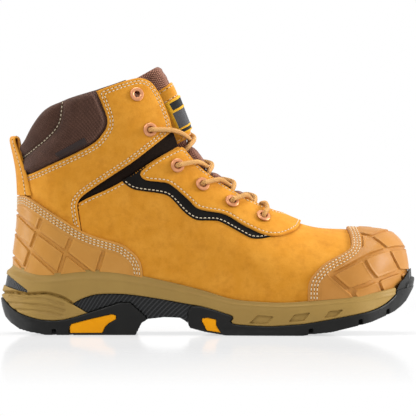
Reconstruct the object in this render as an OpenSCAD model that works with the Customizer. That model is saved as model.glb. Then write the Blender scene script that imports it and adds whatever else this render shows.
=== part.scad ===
// Steel toe work boot for the right foot, as an assembly of its separate pieces.
// Millimetres. +X points to the toe, +Y to the inner side of the foot, +Z up.
// The origin is on the ground, under the middle of the boot.

/* [Boot] */
// Overall length, from the heel lobe to the toe bumper; the whole boot scales with it
boot_length = 313; // [285:1:335]
// Half width of the upper at the ball of the foot
ball_half_width = 51.5; // [47:0.5:54]
// Half width of the shaft at the ankle
ankle_half_width = 35; // [32:0.5:38]

/* [Upper] */
// Thickness of the upper leather
leather = 2; // [1.6:0.1:2]
// Thickness of the inner lining
lining_wall = 1.8; // [1.2:0.1:2]
// Thickness of the padding in the collar
collar_padding = 7; // [4:0.5:8]
// Thickness of the padding in the tongue
tongue_padding = 5.5; // [3:0.5:6]
// Wall of the steel toecap
toecap_wall = 2; // [1.5:0.1:2]

/* [Sole] */
// Depth of the tread grooves
tread_depth = 4.5; // [3:0.5:5]
// Thickness of the footbed
footbed_thickness = 5; // [4:0.5:6]
// Thickness of the puncture-resistant plate
plate_thickness = 1.2; // [0.5:0.1:1.5]

/* [Lacing] */
// Radius of the hole through each eyelet
eyelet_bore = 2.5; // [2.4:0.1:3]
// Radius of each eyelet's flange
eyelet_flange = 5.3; // [4.5:0.1:6]
// Diameter of the lace
lace_diameter = 3.6; // [3.2:0.1:4.2]

/* [Hidden] */

DESIGN_LENGTH = 313;  // length at which every other size holds
LATERAL = -1;
MEDIAL = 1;
REACH = 90;       // further than the boot reaches to either side
COLUMNS = 40;     // columns of the surface grid, round the boot
ROWS = 12;        // rows of the surface grid, from the sole to the top line
LAYER_GAP = 0.2;  // left between pieces that lie on each other
HALF_GAP = 0.15;  // from the middle plane to a piece that has a twin on the other side

// ---------------------------------------------------------------- the last, in side view [x, z]

// Where the upper meets the sole
FEATHER = [[-148, 53], [-139, 47.5], [-127, 44], [-93, 46.5], [-72, 46], [-48, 42], [-2, 32],
    [18, 26.5], [38, 24.5], [60, 24], [86, 26], [116, 29], [150, 37]];
// Front of the boot from the toe tip to the collar, as [z - x, z + x] / sqrt(2)
RIDGE = [[-79, 131.5], [-72, 141], [-66, 146], [-58, 150.5], [-50, 152], [-42, 150], [-33, 143.5],
    [-18, 130], [-3, 116.5], [8, 109.5], [24, 103], [52, 96], [82, 91.5], [98, 92], [108, 94],
    [128, 103], [153, 113.5], [168, 117.5]];
// Back of the boot, as [z, x]
BACK = [[50, -146], [64, -145.5], [75, -144], [87, -143], [105, -142.5], [120, -142.5], [142, -144]];
// Top line of the collar
TOP = [[-144, 142], [-139.5, 147], [-134.5, 157], [-126, 168.5], [-111, 176.5], [-84, 185.5],
    [-57, 194.5], [-36.5, 201.5]];
// Half width of the foot along x, and of the shaft along z
FOOT_WIDTH = [[-146, 33], [-115, 35.5], [-80, 34.5], [-40, 35], [-5, 39], [35, 47],
    [70, ball_half_width], [105, 51], [140, 48]];
SHAFT_WIDTH = [[60, ankle_half_width], [90, ankle_half_width - 1], [115, ankle_half_width - 1.5],
    [140, 37], [170, 39], [200, 38]];
// Middle line of the foot in plan: the toe turns inwards
CENTRE = [[-146, 1.6], [-60, 0.1], [0, -1.9], [50, -2.4], [95, 0.6], [150, 8.1]];
RIDGE_START = -78.8;
RIDGE_END = 168;
HEEL_LOW = 53;
HEEL_TOP = 142;
FRONT_ROUNDING = 55;  // depth over which the front rounds off
BACK_ROUNDING = 42;   // depth over which the heel rounds off
FRONT_CURVE = 2.15;   // how squarely the front and the back round off
BACK_CURVE = 2.1;

// ---------------------------------------------------------------- curves

function last_before(points, x, i = 0) =
    i >= len(points) - 2 || points[i + 1][0] > x ? i : last_before(points, x, i + 1);
function slope(points, i) = (points[i + 1][1] - points[i][1]) / (points[i + 1][0] - points[i][0]);
function knot_slope(points, i) =
    i == 0 ? slope(points, 0)
    : i == len(points) - 1 ? slope(points, i - 1)
    : (slope(points, i - 1) + slope(points, i)) / 2;
// Smooth height of a curve through points at x, straight beyond its ends
function profile(points, x) =
    let (i = last_before(points, x), a = points[i], b = points[i + 1], h = b[0] - a[0],
         t = (x - a[0]) / h, c = min(max(t, 0), 1),
         m0 = knot_slope(points, i), m1 = knot_slope(points, i + 1))
    (2 * c ^ 3 - 3 * c ^ 2 + 1) * a[1] + (c ^ 3 - 2 * c ^ 2 + c) * h * m0
    + (3 * c ^ 2 - 2 * c ^ 3) * b[1] + (c ^ 3 - c ^ 2) * h * m1
    + (t < 0 ? t * h * m0 : 0) + (t > 1 ? (t - 1) * h * m1 : 0);
function ramp(low, high, x) = let (t = min(max((x - low) / (high - low), 0), 1)) t * t * (3 - 2 * t);
function swell(t, n) = let (c = min(max(t, 0), 1)) (1 - (1 - c) ^ n) ^ (1 / n);
function unit(v) = v / norm(v);
function before(p, i) = i > 0 ? p[i - 1] : 2 * p[0] - p[1];
function after(p, i) = i < len(p) - 1 ? p[i + 1] : 2 * p[i] - p[i - 1];
function bend(a, b, c, d, t) =
    0.5 * (2 * b + (c - a) * t + (2 * a - 5 * b + 4 * c - d) * t ^ 2 + (3 * b - a - 3 * c + d) * t ^ 3);
// Smooth path through points, with steps pieces between two of them
function curve(p, steps = 3) = [
    for (i = [0:len(p) - 2]) for (k = [0:steps - 1])
        bend(before(p, i), p[i], p[i + 1], after(p, i + 1), k / steps),
    p[len(p) - 1]
];
function joined(parts) = [for (part = parts) for (point = part) point];
function reversed(p) = [for (i = [len(p) - 1:-1:0]) p[i]];

// ---------------------------------------------------------------- the last, in space

function ridge_point(p) = let (q = profile(RIDGE, p)) [q - p, q + p] / sqrt(2);
function ridge_gap(x, z) =
    let (p = (z - x) / sqrt(2), s = profile(RIDGE, p + 0.5) - profile(RIDGE, p - 0.5))
    (profile(RIDGE, p) - (x + z) / sqrt(2)) / sqrt(1 + s * s);
function half_width(x, z) =
    let (foot = profile(FOOT_WIDTH, x), shaft = profile(SHAFT_WIDTH, z))
    (foot + (shaft - foot) * ramp(50, 130, z))
    * swell(ridge_gap(x, z) / FRONT_ROUNDING, FRONT_CURVE)
    * swell((x - profile(BACK, z)) / BACK_ROUNDING, BACK_CURVE);
function mix(a, b, t) = a + (b - a) * t;
BACK_LOW = [profile(BACK, HEEL_LOW), HEEL_LOW];
BACK_TOP = [profile(BACK, HEEL_TOP), HEEL_TOP];
TOE_TIP = ridge_point(RIDGE_START);
FRONT_TOP = ridge_point(RIDGE_END);
// Side-view place: along goes from the heel to the front, up from the sole to the top line
function side_place(along, up) =
    let (bx = mix(BACK_LOW[0], TOE_TIP[0], along), tx = mix(BACK_TOP[0], FRONT_TOP[0], along),
         z = mix(HEEL_LOW, HEEL_TOP, up),
         feather_fit = mix(BACK_LOW[1] - profile(FEATHER, BACK_LOW[0]),
                           TOE_TIP[1] - profile(FEATHER, TOE_TIP[0]), along),
         top_fit = mix(BACK_TOP[1] - profile(TOP, BACK_TOP[0]),
                       FRONT_TOP[1] - profile(TOP, FRONT_TOP[0]), along),
         low = [bx, profile(FEATHER, bx) + feather_fit], high = [tx, profile(TOP, tx) + top_fit],
         back = [profile(BACK, z), z], front = ridge_point(mix(RIDGE_START, RIDGE_END, up)))
    mix(low, high, up) + mix(back, front, along)
    - mix(mix(BACK_LOW, TOE_TIP, along), mix(BACK_TOP, FRONT_TOP, along), up);
// Round the boot: turn -1 is the toe, 0 the heel and 1 the toe again, with the inner side first
function skin_point(turn, up) =
    let (p = side_place((1 - cos(180 * turn)) / 2, up), side = turn < 0 ? MEDIAL : LATERAL)
    [p[0], profile(CENTRE, p[0]) + side * half_width(p[0], p[1]), p[1]];

SKIN = [for (i = [0:COLUMNS - 1]) [for (j = [0:ROWS]) skin_point(2 * i / COLUMNS - 1, j / ROWS)]];

// ---------------------------------------------------------------- sheets built on grids of points

function wrap(i, n, ring) = ring ? (i + n) % n : min(max(i, 0), n - 1);
function grid_normals(g, ring) = let (n = len(g), m = len(g[0]))
    [for (i = [0:n - 1]) [for (j = [0:m - 1])
        unit(cross(g[wrap(i + 1, n, ring)][j] - g[wrap(i - 1, n, ring)][j],
                   g[i][min(j + 1, m - 1)] - g[i][max(j - 1, 0)]))]];
function moved(g, normals, away) =
    [for (i = [0:len(g) - 1]) [for (j = [0:len(g[0]) - 1]) g[i][j] + normals[i][j] * away(g[i][j])]];

// A closed solid between two grids; as a ring it joins its last column to its first
module slab(outer, inner, ring = false) {
    n = len(outer);
    m = len(outer[0]);
    spans = ring ? n : n - 1;
    function at(layer, i, j) = layer * n * m + (i % n) * m + j;
    function quad(a, b, c, d) = [[a, b, c], [a, c, d]];
    outer_faces = [for (i = [0:spans - 1]) for (j = [0:m - 2])
        each quad(at(0, i, j), at(0, i, j + 1), at(0, i + 1, j + 1), at(0, i + 1, j))];
    inner_faces = [for (i = [0:spans - 1]) for (j = [0:m - 2])
        each quad(at(1, i, j), at(1, i + 1, j), at(1, i + 1, j + 1), at(1, i, j + 1))];
    rims = [for (i = [0:spans - 1]) each concat(
        quad(at(0, i, m - 1), at(1, i, m - 1), at(1, i + 1, m - 1), at(0, i + 1, m - 1)),
        quad(at(0, i, 0), at(0, i + 1, 0), at(1, i + 1, 0), at(1, i, 0)))];
    ends = [if (!ring) for (j = [0:m - 2]) each concat(
        quad(at(0, 0, j), at(1, 0, j), at(1, 0, j + 1), at(0, 0, j + 1)),
        quad(at(0, n - 1, j), at(0, n - 1, j + 1), at(1, n - 1, j + 1), at(1, n - 1, j)))];
    faces = joined([outer_faces, inner_faces, rims, ends]);
    polyhedron(points = joined(joined([outer, inner])), faces = faces);
}

SKIN_NORMALS = grid_normals(SKIN, true);
// A layer of the upper, all round the boot, between two distances out from the last
module layer(inner, outer)
    slab(moved(SKIN, SKIN_NORMALS, outer), moved(SKIN, SKIN_NORMALS, inner), ring = true);
module even_layer(inner, outer) layer(function (p) inner, function (p) outer);

// Everything inside a side-view outline, on one side of the boot or on both
module side_view(outline, from = -REACH, to = REACH)
    translate([0, to, 0]) rotate([90, 0, 0]) linear_extrude(to - from) polygon(outline);
module half_view(outline, side)
    side_view(outline, side == LATERAL ? -REACH : HALF_GAP, side == LATERAL ? -HALF_GAP : REACH);
module sized() scale(boot_length / DESIGN_LENGTH) children();
// A curved piece with its clipped edges, kept as one closed mesh
module trimmed() resize([0, 0, 0]) children();

// ---------------------------------------------------------------- side-view outlines of the upper

QUARTER_TOP_EDGE = [[-150, 113], [-143, 118], [-131.5, 122.5], [-120, 128], [-97, 139], [-85.5, 145.5],
    [-79, 150], [-75.5, 157], [-76.5, 165.5], [-82, 180], [-84, 188]];
QUARTER_FRONT_EDGE = [[-51.5, 199], [-45.5, 193], [-41.5, 189], [-35.5, 179.5], [-29.5, 164],
    [-27, 153.5]];
QUARTER_LOW_EDGE = [[-28, 153], [-40, 143.5], [-55.5, 131.5], [-70.5, 121.5], [-85.5, 111.5],
    [-95, 104.5], [-98.5, 99], [-98, 92], [-96, 80], [-94, 60], [-94, 30]];
FLEX_LOW_EDGE = [[-98, 99.5], [-89.5, 104], [-73, 111.5], [-59, 119.5], [-40, 132], [-22, 142.5]];
THROAT = [[-20.5, 141.5], [-12.5, 131.5], [-6, 124.5], [9.5, 112.5], [28.5, 101], [41, 95],
    [50, 91.2], [56, 89.5]];
EYESTAY_EDGE = [[-21, 141.5], [-36.5, 134], [-49, 125], [-51, 121], [-47, 117], [-36.5, 115.5],
    [-28.5, 113.5], [-15, 102], [-9, 96], [-2, 93.5], [13, 90.5], [28.5, 81.5], [43.5, 75],
    [55, 74.5], [65, 78], [69, 81.5], [72, 90]];
WAVE_EDGE = [[-65, 116.5], [-60.5, 112.5], [-54, 109.5], [-36.5, 107], [-28.5, 104], [-17.5, 92.5],
    [-9, 87], [1.5, 86.5], [9.5, 85.5], [24.5, 77.5], [34, 73], [44.5, 73.5], [50, 75.5]];
GUARD_EDGE = [[-152, 99], [-144, 103.5], [-139, 105.5], [-131.5, 102], [-108.5, 86.5], [-97, 79.5],
    [-85.5, 74.5], [-66.5, 69], [-59, 64.5], [-53, 58.5], [-49.5, 50], [-48.5, 30]];
TOE_CAP_EDGE = [[104, 90], [104.5, 81.5], [107.5, 74], [108, 66], [104, 62], [89, 54], [82.5, 48.5],
    [77.5, 42.5], [75.5, 35], [75.5, 15]];
EYELETS = [[-54, 181.5], [-44, 155], [-24, 127.5], [-5, 112.5], [17.5, 99], [41, 87.5]];
LOWER_EYELETS = [2:5];
UPPER_EYELETS = [0:1];

QUARTER = joined([curve(QUARTER_TOP_EDGE), [[-84, 210], [-53, 210]], curve(QUARTER_FRONT_EDGE),
    curve(QUARTER_LOW_EDGE), [[-165, 30], [-165, 113]]]);
VAMP = joined([curve(FLEX_LOW_EDGE), curve(THROAT), [[90, 110], [190, 110], [190, 0],
    [-93.5, 0], [-93.5, 60], [-95.5, 80], [-97.5, 92]]]);
FLEX = joined([curve([for (p = FLEX_LOW_EDGE) p + [0, 0.6]]), [[-22.5, 146], [-27, 158], [-45, 148],
    [-61, 136], [-76, 126], [-88, 118], [-100, 108]]]);
EYESTAY = joined([curve(EYESTAY_EDGE), [[85, 105]],
    [for (i = [len(THROAT) - 1:-1:1]) THROAT[i] + [0.3, 0.3]]]);
WAVE = joined([curve(WAVE_EDGE), [[62, 78.5], [66, 82], [56, 87.5]],
    [for (i = [len(THROAT) - 1:-1:0]) THROAT[i] + [-0.9, -0.9]], [[-40, 131]]]);
COLLAR = [[-165, 122], [-118, 132], [-98, 145], [-70, 152], [-52, 168], [-66, 215], [-165, 215]];
// Height of the quarters' upper edge along x
QUARTER_TOP = [[-150, 113], [-131.5, 122.5], [-97, 139], [-79, 150], [-76, 165]];
// The lining stops a little short of the facings' edges
LINING_OPENING = joined([[[-44, 215]], curve(QUARTER_FRONT_EDGE),
    [for (p = curve(THROAT)) p - [2.2, 2.2]], [[60, 110], [60, 215]]]);
LABEL = [[-114.5, 137], [-93.5, 149], [-91, 143.5], [-111.5, 132]];

// ---------------------------------------------------------------- depths inside the upper

// Room for the toecap and for the heel counter between the leather and the lining
function stiffener_room(p) = (toecap_wall + 2 * LAYER_GAP)
    * max(ramp(72, 84, p[0]), (1 - ramp(-84, -70, p[0])) * (1 - ramp(98, 112, p[2])));
// Padding round the top of the shaft, fading towards the front opening
function padding(p) = collar_padding * ramp(112, 148, p[2]) * ramp(22, 40, ridge_gap(p[0], p[2]));
function lining_outside(p) = -leather - LAYER_GAP - max(stiffener_room(p), padding(p));
function lining_inside(p) = lining_outside(p) - lining_wall;
// The quarter lies lower where the heel guard covers it
QUARTER_LEVEL = 1.2;
function quarter_outside(p) =
    QUARTER_LEVEL - 1.25 * (1 - ramp(0, 7, p[2] - profile(GUARD_EDGE, p[0])));
// The collar is thicker where it shows above the quarters
function above_quarter(p) = min(p[2] - profile(QUARTER_TOP, p[0]), -87 - p[0]);
function collar_outside(p) =
    quarter_outside(p) - leather - 0.1 + (leather - 0.2) * ramp(1, 5, above_quarter(p));
// Holes through the leather for the eyelets of some rows, a little wider than their barrels
EYELET_HOLE = eyelet_bore + 0.8;
module eyelet_holes(rows)
    for (side = [LATERAL, MEDIAL], k = rows)
        eyelet_place(k, side) cylinder(r = EYELET_HOLE, h = 40, center = true, $fn = 12);

// Point of the upper's surface and its outward direction, from a side-view place
function surface_point(x, z, side) = [x, profile(CENTRE, x) + side * half_width(x, z), z];
function surface_out(x, z, side) =
    let (e = 0.4, a = surface_point(x + e, z, side) - surface_point(x - e, z, side),
         b = surface_point(x, z + e, side) - surface_point(x, z - e, side))
    -side * unit(cross(a, b));
function above(x, z, side, away) = surface_point(x, z, side) + away * surface_out(x, z, side);

// Puts its children at an eyelet, on the last, with +Z pointing out of the boot
module eyelet_place(k, side) {
    out = surface_out(EYELETS[k][0], EYELETS[k][1], side);
    translate(surface_point(EYELETS[k][0], EYELETS[k][1], side))
        rotate([0, acos(out[2]), atan2(out[1], out[0])]) children();
}

// ---------------------------------------------------------------- upper

module vamp() color("#d99b3f") trimmed() difference() {
    intersection() {
        even_layer(-leather, 0);
        side_view(VAMP);
    }
    eyelet_holes(LOWER_EYELETS);
}

module quarter(side) color("#dba045") trimmed() difference() {
    intersection() {
        layer(function (p) quarter_outside(p) - leather + 0.1, function (p) quarter_outside(p));
        half_view(QUARTER, side);
    }
    eyelet_holes(UPPER_EYELETS);
}
module ankle_quarter_lateral() quarter(LATERAL);
module ankle_quarter_medial() quarter(MEDIAL);

module flex_panel(side) color("#2b2320") trimmed() intersection() {
    even_layer(-leather, -leather + 1);
    half_view(FLEX, side);
}
module flex_panel_lateral() flex_panel(LATERAL);
module flex_panel_medial() flex_panel(MEDIAL);

module wave_trim(side) color("#1d1a19") trimmed() difference() {
    intersection() {
        even_layer(0.15, 1.2);
        half_view(WAVE, side);
    }
    eyelet_holes(LOWER_EYELETS);
}
module wave_trim_lateral() wave_trim(LATERAL);
module wave_trim_medial() wave_trim(MEDIAL);

EYESTAY_LEVEL = 3.2;
module eyestay() color("#d89a40") trimmed() difference() {
    intersection() {
        even_layer(EYESTAY_LEVEL - 1.8, EYESTAY_LEVEL);
        side_view(EYESTAY);
    }
    eyelet_holes(LOWER_EYELETS);
}

module toe_scuff_cap() color("#c98f55") trimmed() intersection() {
    even_layer(0.2, 2.4);
    side_view(joined([curve(TOE_CAP_EDGE), [[190, 15], [190, 90]]]));
}

module heel_guard() color("#b98a4c") trimmed() intersection() {
    even_layer(0.25, 2.5);
    side_view(joined([curve(GUARD_EDGE), [[-165, 30], [-165, 99]]]));
}

module collar() color("#5b4541") trimmed() difference() {
    intersection() {
        layer(function (p) lining_outside(p) + LAYER_GAP, function (p) collar_outside(p));
        side_view(COLLAR);
    }
    eyelet_holes(UPPER_EYELETS);
}

module lining() color("#3a3634") trimmed() difference() {
    layer(function (p) lining_inside(p), function (p) lining_outside(p));
    side_view(LINING_OPENING);
    eyelet_holes(LOWER_EYELETS);
    eyelet_holes(UPPER_EYELETS);
}

module steel_toe_cap() color("#8d9296") trimmed() intersection() {
    even_layer(-leather - LAYER_GAP - toecap_wall, -leather - LAYER_GAP);
    side_view([[93, 20], [93, 60], [99, 72], [104, 90], [190, 90], [190, 20]]);
}

module heel_counter() color("#d8d2c4") trimmed() intersection() {
    even_layer(-leather - LAYER_GAP - toecap_wall, -leather - LAYER_GAP);
    side_view([[-165, 40], [-165, 92], [-120, 92], [-100, 80], [-90, 66], [-88, 40]]);
}

// Band up the back of the heel that folds over into the pull loop: [z, distance out, half width]
LOOP_PATH = [[107, 1.9, 22.5], [112, 2.1, 21.5], [118, 2.3, 20.5], [126, 2.8, 19], [134, 3.4, 17.5],
    [141, 3.9, 16], [145, 4.1, 15], [146.4, 3.3, 15], [146.2, 2.4, 15], [144, 2, 15.5],
    [138, 1.8, 16.5], [131, 1.6, 18]];
LOOP_COLUMNS = 6;  // columns of the band on each side of its middle
LOOP_HALF = 0.5;   // half its thickness
function back_point(z, y) =
    let (w = half_width(profile(BACK, z) + BACK_ROUNDING, z), t = min(abs(y) / w, 0.95))
    [profile(BACK, z) + BACK_ROUNDING * (1 - (1 - t ^ BACK_CURVE) ^ (1 / BACK_CURVE)),
     y + profile(CENTRE, -144), z];
module pull_loop() {
    band = [for (c = [-LOOP_COLUMNS:LOOP_COLUMNS]) [for (p = LOOP_PATH)
        let (y = -c * p[2] / LOOP_COLUMNS) back_point(p[0], y) + p[1] * unit([-1, y / 24, 0])]];
    normals = grid_normals(band, false);
    color("#d99c42") slab(moved(band, normals, function (p) LOOP_HALF),
                          moved(band, normals, function (p) -LOOP_HALF));
}

module side_label() color("#3a2c29") trimmed() intersection() {
    even_layer(1.2, 1.9);
    half_view(LABEL, LATERAL);
}

// ---------------------------------------------------------------- tongue

TONGUE_BASE = 19;
TONGUE_TOP = 166;
// Depth of the open throat and of the whole tongue below the ridge line
THROAT_DEPTH = [[19, 0.8], [24, 1], [32, 2.1], [43, 3.4], [62, 5.4], [92, 7.8], [108, 9], [128, 12.5],
    [166, 12.5]];
TONGUE_DEPTH = [[19, 9], [60, 13], [110, 16], [166, 18]];
LACE_ROOM = 10;       // how deep the tongue's wings lie under the facings
TONGUE_COLUMNS = 8;   // columns on each side of the ridge
TONGUE_ROWS = 15;
// Point of the last in front, by place along the ridge and across (-1 to 1, lateral first)
function front_point(along, across, depth) =
    let (q = profile(RIDGE, along) - depth * across ^ 2,
         x = (q - along) / sqrt(2), z = (q + along) / sqrt(2))
    [x, profile(CENTRE, x) + sign(across) * half_width(x, z), z];
function along_of(p) = (p[2] - p[0]) / sqrt(2);
// How far out the tongue's face lies: level in the throat, low under the facings and at its root
function tongue_face(p) =
    let (a = along_of(p), gap = max(profile(RIDGE, a) - (p[0] + p[2]) / sqrt(2), 0),
         edge = profile(THROAT_DEPTH, a), s = sqrt(gap / edge))
    -0.4 - 4.8 * (1 - ramp(27, 44, a)) - (LACE_ROOM - 3 * (1 - ramp(30, 50, a))) * ramp(0.38, 0.8, s);
function front_grid(low, high, rows, columns, depths, width = 1) =
    [for (c = [-columns:columns]) [for (r = [0:rows])
        let (a = mix(low, high, r / rows)) front_point(a, c / columns * width, profile(depths, a))]];
module front_sheet(low, high, rows, columns, depths, outer, inner, width = 1) {
    g = front_grid(low, high, rows, columns, depths, width);
    n = grid_normals(g, false);
    slab(moved(g, n, outer), moved(g, n, inner));
}

TONGUE_CLOTH = 2;  // thickness of the tongue where it is not padded
module tongue_pad() color("#5e4a45")
    front_sheet(TONGUE_BASE, TONGUE_TOP, TONGUE_ROWS, TONGUE_COLUMNS, TONGUE_DEPTH,
        function (p) tongue_face(p),
        function (p)
            tongue_face(p) - mix(TONGUE_CLOTH, tongue_padding, ramp(24, 60, along_of(p))));

module tongue_overlay() color("#d9a04c")
    front_sheet(115, 155, 6, 6, TONGUE_DEPTH,
        function (p) tongue_face(p) + 2, function (p) tongue_face(p) + 0.6, width = 0.72);

module tongue_badge() color("#e5b21d")
    front_sheet(121, 145, 5, 4, TONGUE_DEPTH,
        function (p) tongue_face(p) + 3.5, function (p) tongue_face(p) + 2.4, width = 0.5);

// Soft fold between each edge of the tongue and the lining, from the toe end to the flex panel
GUSSET_DEPTH = [[19, 11], [60, 15], [110, 18], [166, 20]];
GUSSET_WIDTH = [[19, 18], [60, 24], [110, 30], [166, 30]];
GUSSET_CLOTH = 0.9;
GUSSET_COLUMNS = 5;
GUSSET_ROWS = 9;
function gusset_face(p) =
    let (a = along_of(p), gap = profile(RIDGE, a) - (p[0] + p[2]) / sqrt(2))
    mix(-11.4, -6.4, ramp(profile(GUSSET_DEPTH, a), profile(GUSSET_WIDTH, a), gap));
module gusset(side) {
    g = [for (c = [0:GUSSET_COLUMNS]) [for (r = [0:GUSSET_ROWS])
        let (a = mix(30, 112, r / GUSSET_ROWS), t = c / GUSSET_COLUMNS,
             d = mix(profile(GUSSET_DEPTH, a), profile(GUSSET_WIDTH, a), side == LATERAL ? 1 - t : t))
        front_point(a, side, d)]];
    n = grid_normals(g, false);
    color("#4a3b37") slab(moved(g, n, function (p) gusset_face(p)),
                          moved(g, n, function (p) gusset_face(p) - GUSSET_CLOTH));
}
module gusset_lateral() gusset(LATERAL);
module gusset_medial() gusset(MEDIAL);

// ---------------------------------------------------------------- sole

// Plan distance of the sole's wall outside the upper, by height share, at the heel, side and toe
HEEL_MARGIN = [[0, 3], [0.17, 5], [0.27, 7.5], [0.4, 9.5], [0.6, 10.5], [0.75, 8.5], [0.93, 6], [1, 2.5]];
SIDE_MARGIN = [[0, 2.5], [0.2, 4.5], [0.4, 5], [0.7, 5], [0.9, 4], [1, 2.5]];
TOE_MARGIN = [[0, 2], [0.45, 3], [0.7, 4.5], [0.86, 6], [1, 7]];
LEVELS = [0, 0.12, 0.25, 0.4, 0.6, 0.78, 0.92, 1];
SOLE_COLUMNS = 40;
SOLE_GAP = 0.45;  // left between the sole and the upper's lower edge
SEAM_HALF = 0.12; // drawn in from each edge that two pieces of the sole share
function plan_point(turn) = let (p = skin_point(turn, 0)) [p[0], p[1]];
PLAN = [for (i = [0:SOLE_COLUMNS - 1]) plan_point(2 * i / SOLE_COLUMNS - 1)];
function plan_out(i) =
    let (d = PLAN[(i + 1) % SOLE_COLUMNS] - PLAN[(i + SOLE_COLUMNS - 1) % SOLE_COLUMNS])
    unit([d[1], -d[0]]);
function margin(x, t) =
    let (heel = 1 - ramp(-146, -112, x), toe = ramp(112, 146, x))
    heel * profile(HEEL_MARGIN, t) + toe * profile(TOE_MARGIN, t)
    + (1 - heel - toe) * profile(SIDE_MARGIN, t);

// A closed solid from a stack of rings of points, each ring going round once
module stack(rings) {
    n = len(rings[0]);
    m = len(rings);
    half = n / 2;
    // The ends are laid in strips across, between column i on one side and n - i on the other
    function strip(base, i) = i == 0 ? [[base, base + 1, base + n - 1]]
        : i == half - 1 ? [[base + i, base + half, base + n - i]]
        : [[base + i, base + i + 1, base + n - i - 1], [base + i, base + n - i - 1, base + n - i]];
    function flipped(f) = [f[2], f[1], f[0]];
    faces = [
        for (j = [0:m - 2]) for (i = [0:n - 1]) let (k = (i + 1) % n)
            each [[j * n + i, (j + 1) * n + i, (j + 1) * n + k], [j * n + i, (j + 1) * n + k, j * n + k]],
        for (i = [0:half - 1]) each [for (f = strip(0, i)) f],
        for (i = [0:half - 1]) each [for (f = strip((m - 1) * n, i)) flipped(f)]
    ];
    polyhedron(points = joined(rings), faces = faces);
}

// The whole sole's outer form, drawn in by a distance
module sole_form(drawn_in = 0)
    stack([for (t = LEVELS) [for (i = [0:SOLE_COLUMNS - 1])
        let (c = PLAN[i] + plan_out(i) * (margin(PLAN[i][0], t) - drawn_in))
        [c[0], c[1], t * (profile(FEATHER, PLAN[i][0]) - SOLE_GAP)]]]);

// A flat layer over the sole, inside the upper, between two heights over the feather line
module bed(drawn_in, low, high)
    stack([for (h = [low, high]) [for (i = [0:SOLE_COLUMNS - 1])
        let (c = PLAN[i] - plan_out(i) * (drawn_in + stiffener_room([PLAN[i][0], 0, 60])))
        [c[0], c[1], profile(FEATHER, c[0]) + h]]]);

// Edges that the pieces of the sole share, in side view: the heel lobe's underside, the tip between it
// and the shank, the shank's upper edge and the forefoot rubber's upper edge
LOBE_EDGE = [[-160, 26], [-156.5, 27.5], [-150.5, 21.5], [-142.5, 16], [-127.5, 11.5], [-112.5, 11],
    [-101.5, 13.2], [-91, 16.5]];
LOBE_FRONT = [[-97, 20.2]];
ARCH_EDGE = [[-102.5, 23.4], [-96.5, 26.8], [-90.5, 29.2], [-82, 31], [-63, 31], [-36.5, 27.5],
    [-6, 22]];
POD_EDGE = [[-6, 22], [5.5, 19], [13, 16.5], [17.5, 15], [19, 13], [17.5, 10.5], [20.5, 8.5],
    [32, 7.5], [47.5, 7], [62.5, 8], [77.5, 9.5], [108, 15], [123.5, 18.5], [134.5, 23.5],
    [141.5, 29.5], [143, 33.5]];
// Outsoles: the back and the front of the heel, and the forefoot's underside up to the toe
HEEL_BACK = [[-82, -1], [-120, -1], [-127, 0.8], [-135, 2], [-142.5, 4], [-149, 8.5], [-153.5, 13.5],
    [-155.5, 20], [-160, 26]];
HEEL_BREAST = [[-91, 16.5], [-66.5, 24.5], [-59, 24.5], [-50, 16.5], [-45.5, 12], [-50, 9], [-55, -1]];
FOREFOOT_BASE = [[-15, 17.5], [-15, 9], [-13.5, 5.5], [-2, 2.5], [11, 0.4], [18, -1], [68, -1],
    [77.5, 1], [93, 2.5], [112, 7], [123.5, 10], [134.5, 14.5], [141, 17.5], [146, 21], [150, 25],
    [153.5, 31], [157, 37]];
HEEL_BASE = [[-160, 9], [-149, 7], [-142.5, 3.5], [-135, 1.5], [-120, 0], [-40, 0]];
BUMPER = [[143, 33.6], [146, 39.5], [149, 42], [153, 48], [154.5, 49.5], [162, 49.5], [162, 25],
    [143, 25]];
SHANK_BASE = [[-15, 17.5], [-15, 9], [-17.5, 11], [-21, 13], [-32.5, 13.5], [-45.5, 12], [-50, 16.5],
    [-59, 24.5], [-66.5, 24.5], [-91, 16.5]];
// Let into the sole's sides: the heel accent, the inserts in the rubber and the midsole's windows
ACCENT = [[-158, 46], [-152, 45], [-142.5, 38], [-136.5, 33.5], [-136.5, 32], [-142.5, 33],
    [-154.4, 36.6], [-158, 37.4]];
HEEL_INSERT = [[-104.5, 6], [-103, 8.5], [-89.5, 12], [-72, 16], [-69, 14.5], [-69, 12], [-74.5, 9],
    [-77.5, 6], [-79.5, 1.5], [-104, 1.5]];
BALL_INSERT = [[-4, 13], [-0.5, 13.5], [6.5, 12], [6.5, 7.5], [10, 2], [-1, 3.5], [-2.5, 7],
    [-4.5, 10.5]];
WINDOWS = [[[31.5, 9.5], [37.5, 15.5], [49.5, 14.5], [44.5, 9]],
    [[61, 10.5], [65, 16], [77, 17.5], [72.5, 11.5]],
    [[87.5, 13.5], [91.5, 18.5], [102, 19.7], [97, 14.7]]];
WINDOW_DEPTH = 1.2;
SHANK_DEPTH = 2.5;
ACCENT_DEPTH = 4;
INSERT_DEPTH = 5;
POCKET_GAP = 0.25;  // left round a piece that is let into the sole
BUMPER_DROP = 1.6;  // how far the bumper's layer reaches down into the sole
BAR_PITCH = 13;
BAR_LEAN = 18;      // degrees from straight across
BAR_WIDTH = 3.2;
CHANNEL_WIDTH = 2.8;
CHANNEL_RISE = 0.6;  // how much shallower the tread's long channels are than its bars

// A side-view outline made smaller, so that neighbours in the sole stay apart
module sole_view(outline, shrink = SEAM_HALF)
    translate([0, REACH, 0]) rotate([90, 0, 0]) linear_extrude(2 * REACH)
        offset(delta = -shrink) polygon(outline);
module sole_wall(depth) difference() {
    sole_form();
    sole_form(depth);
}

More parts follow.
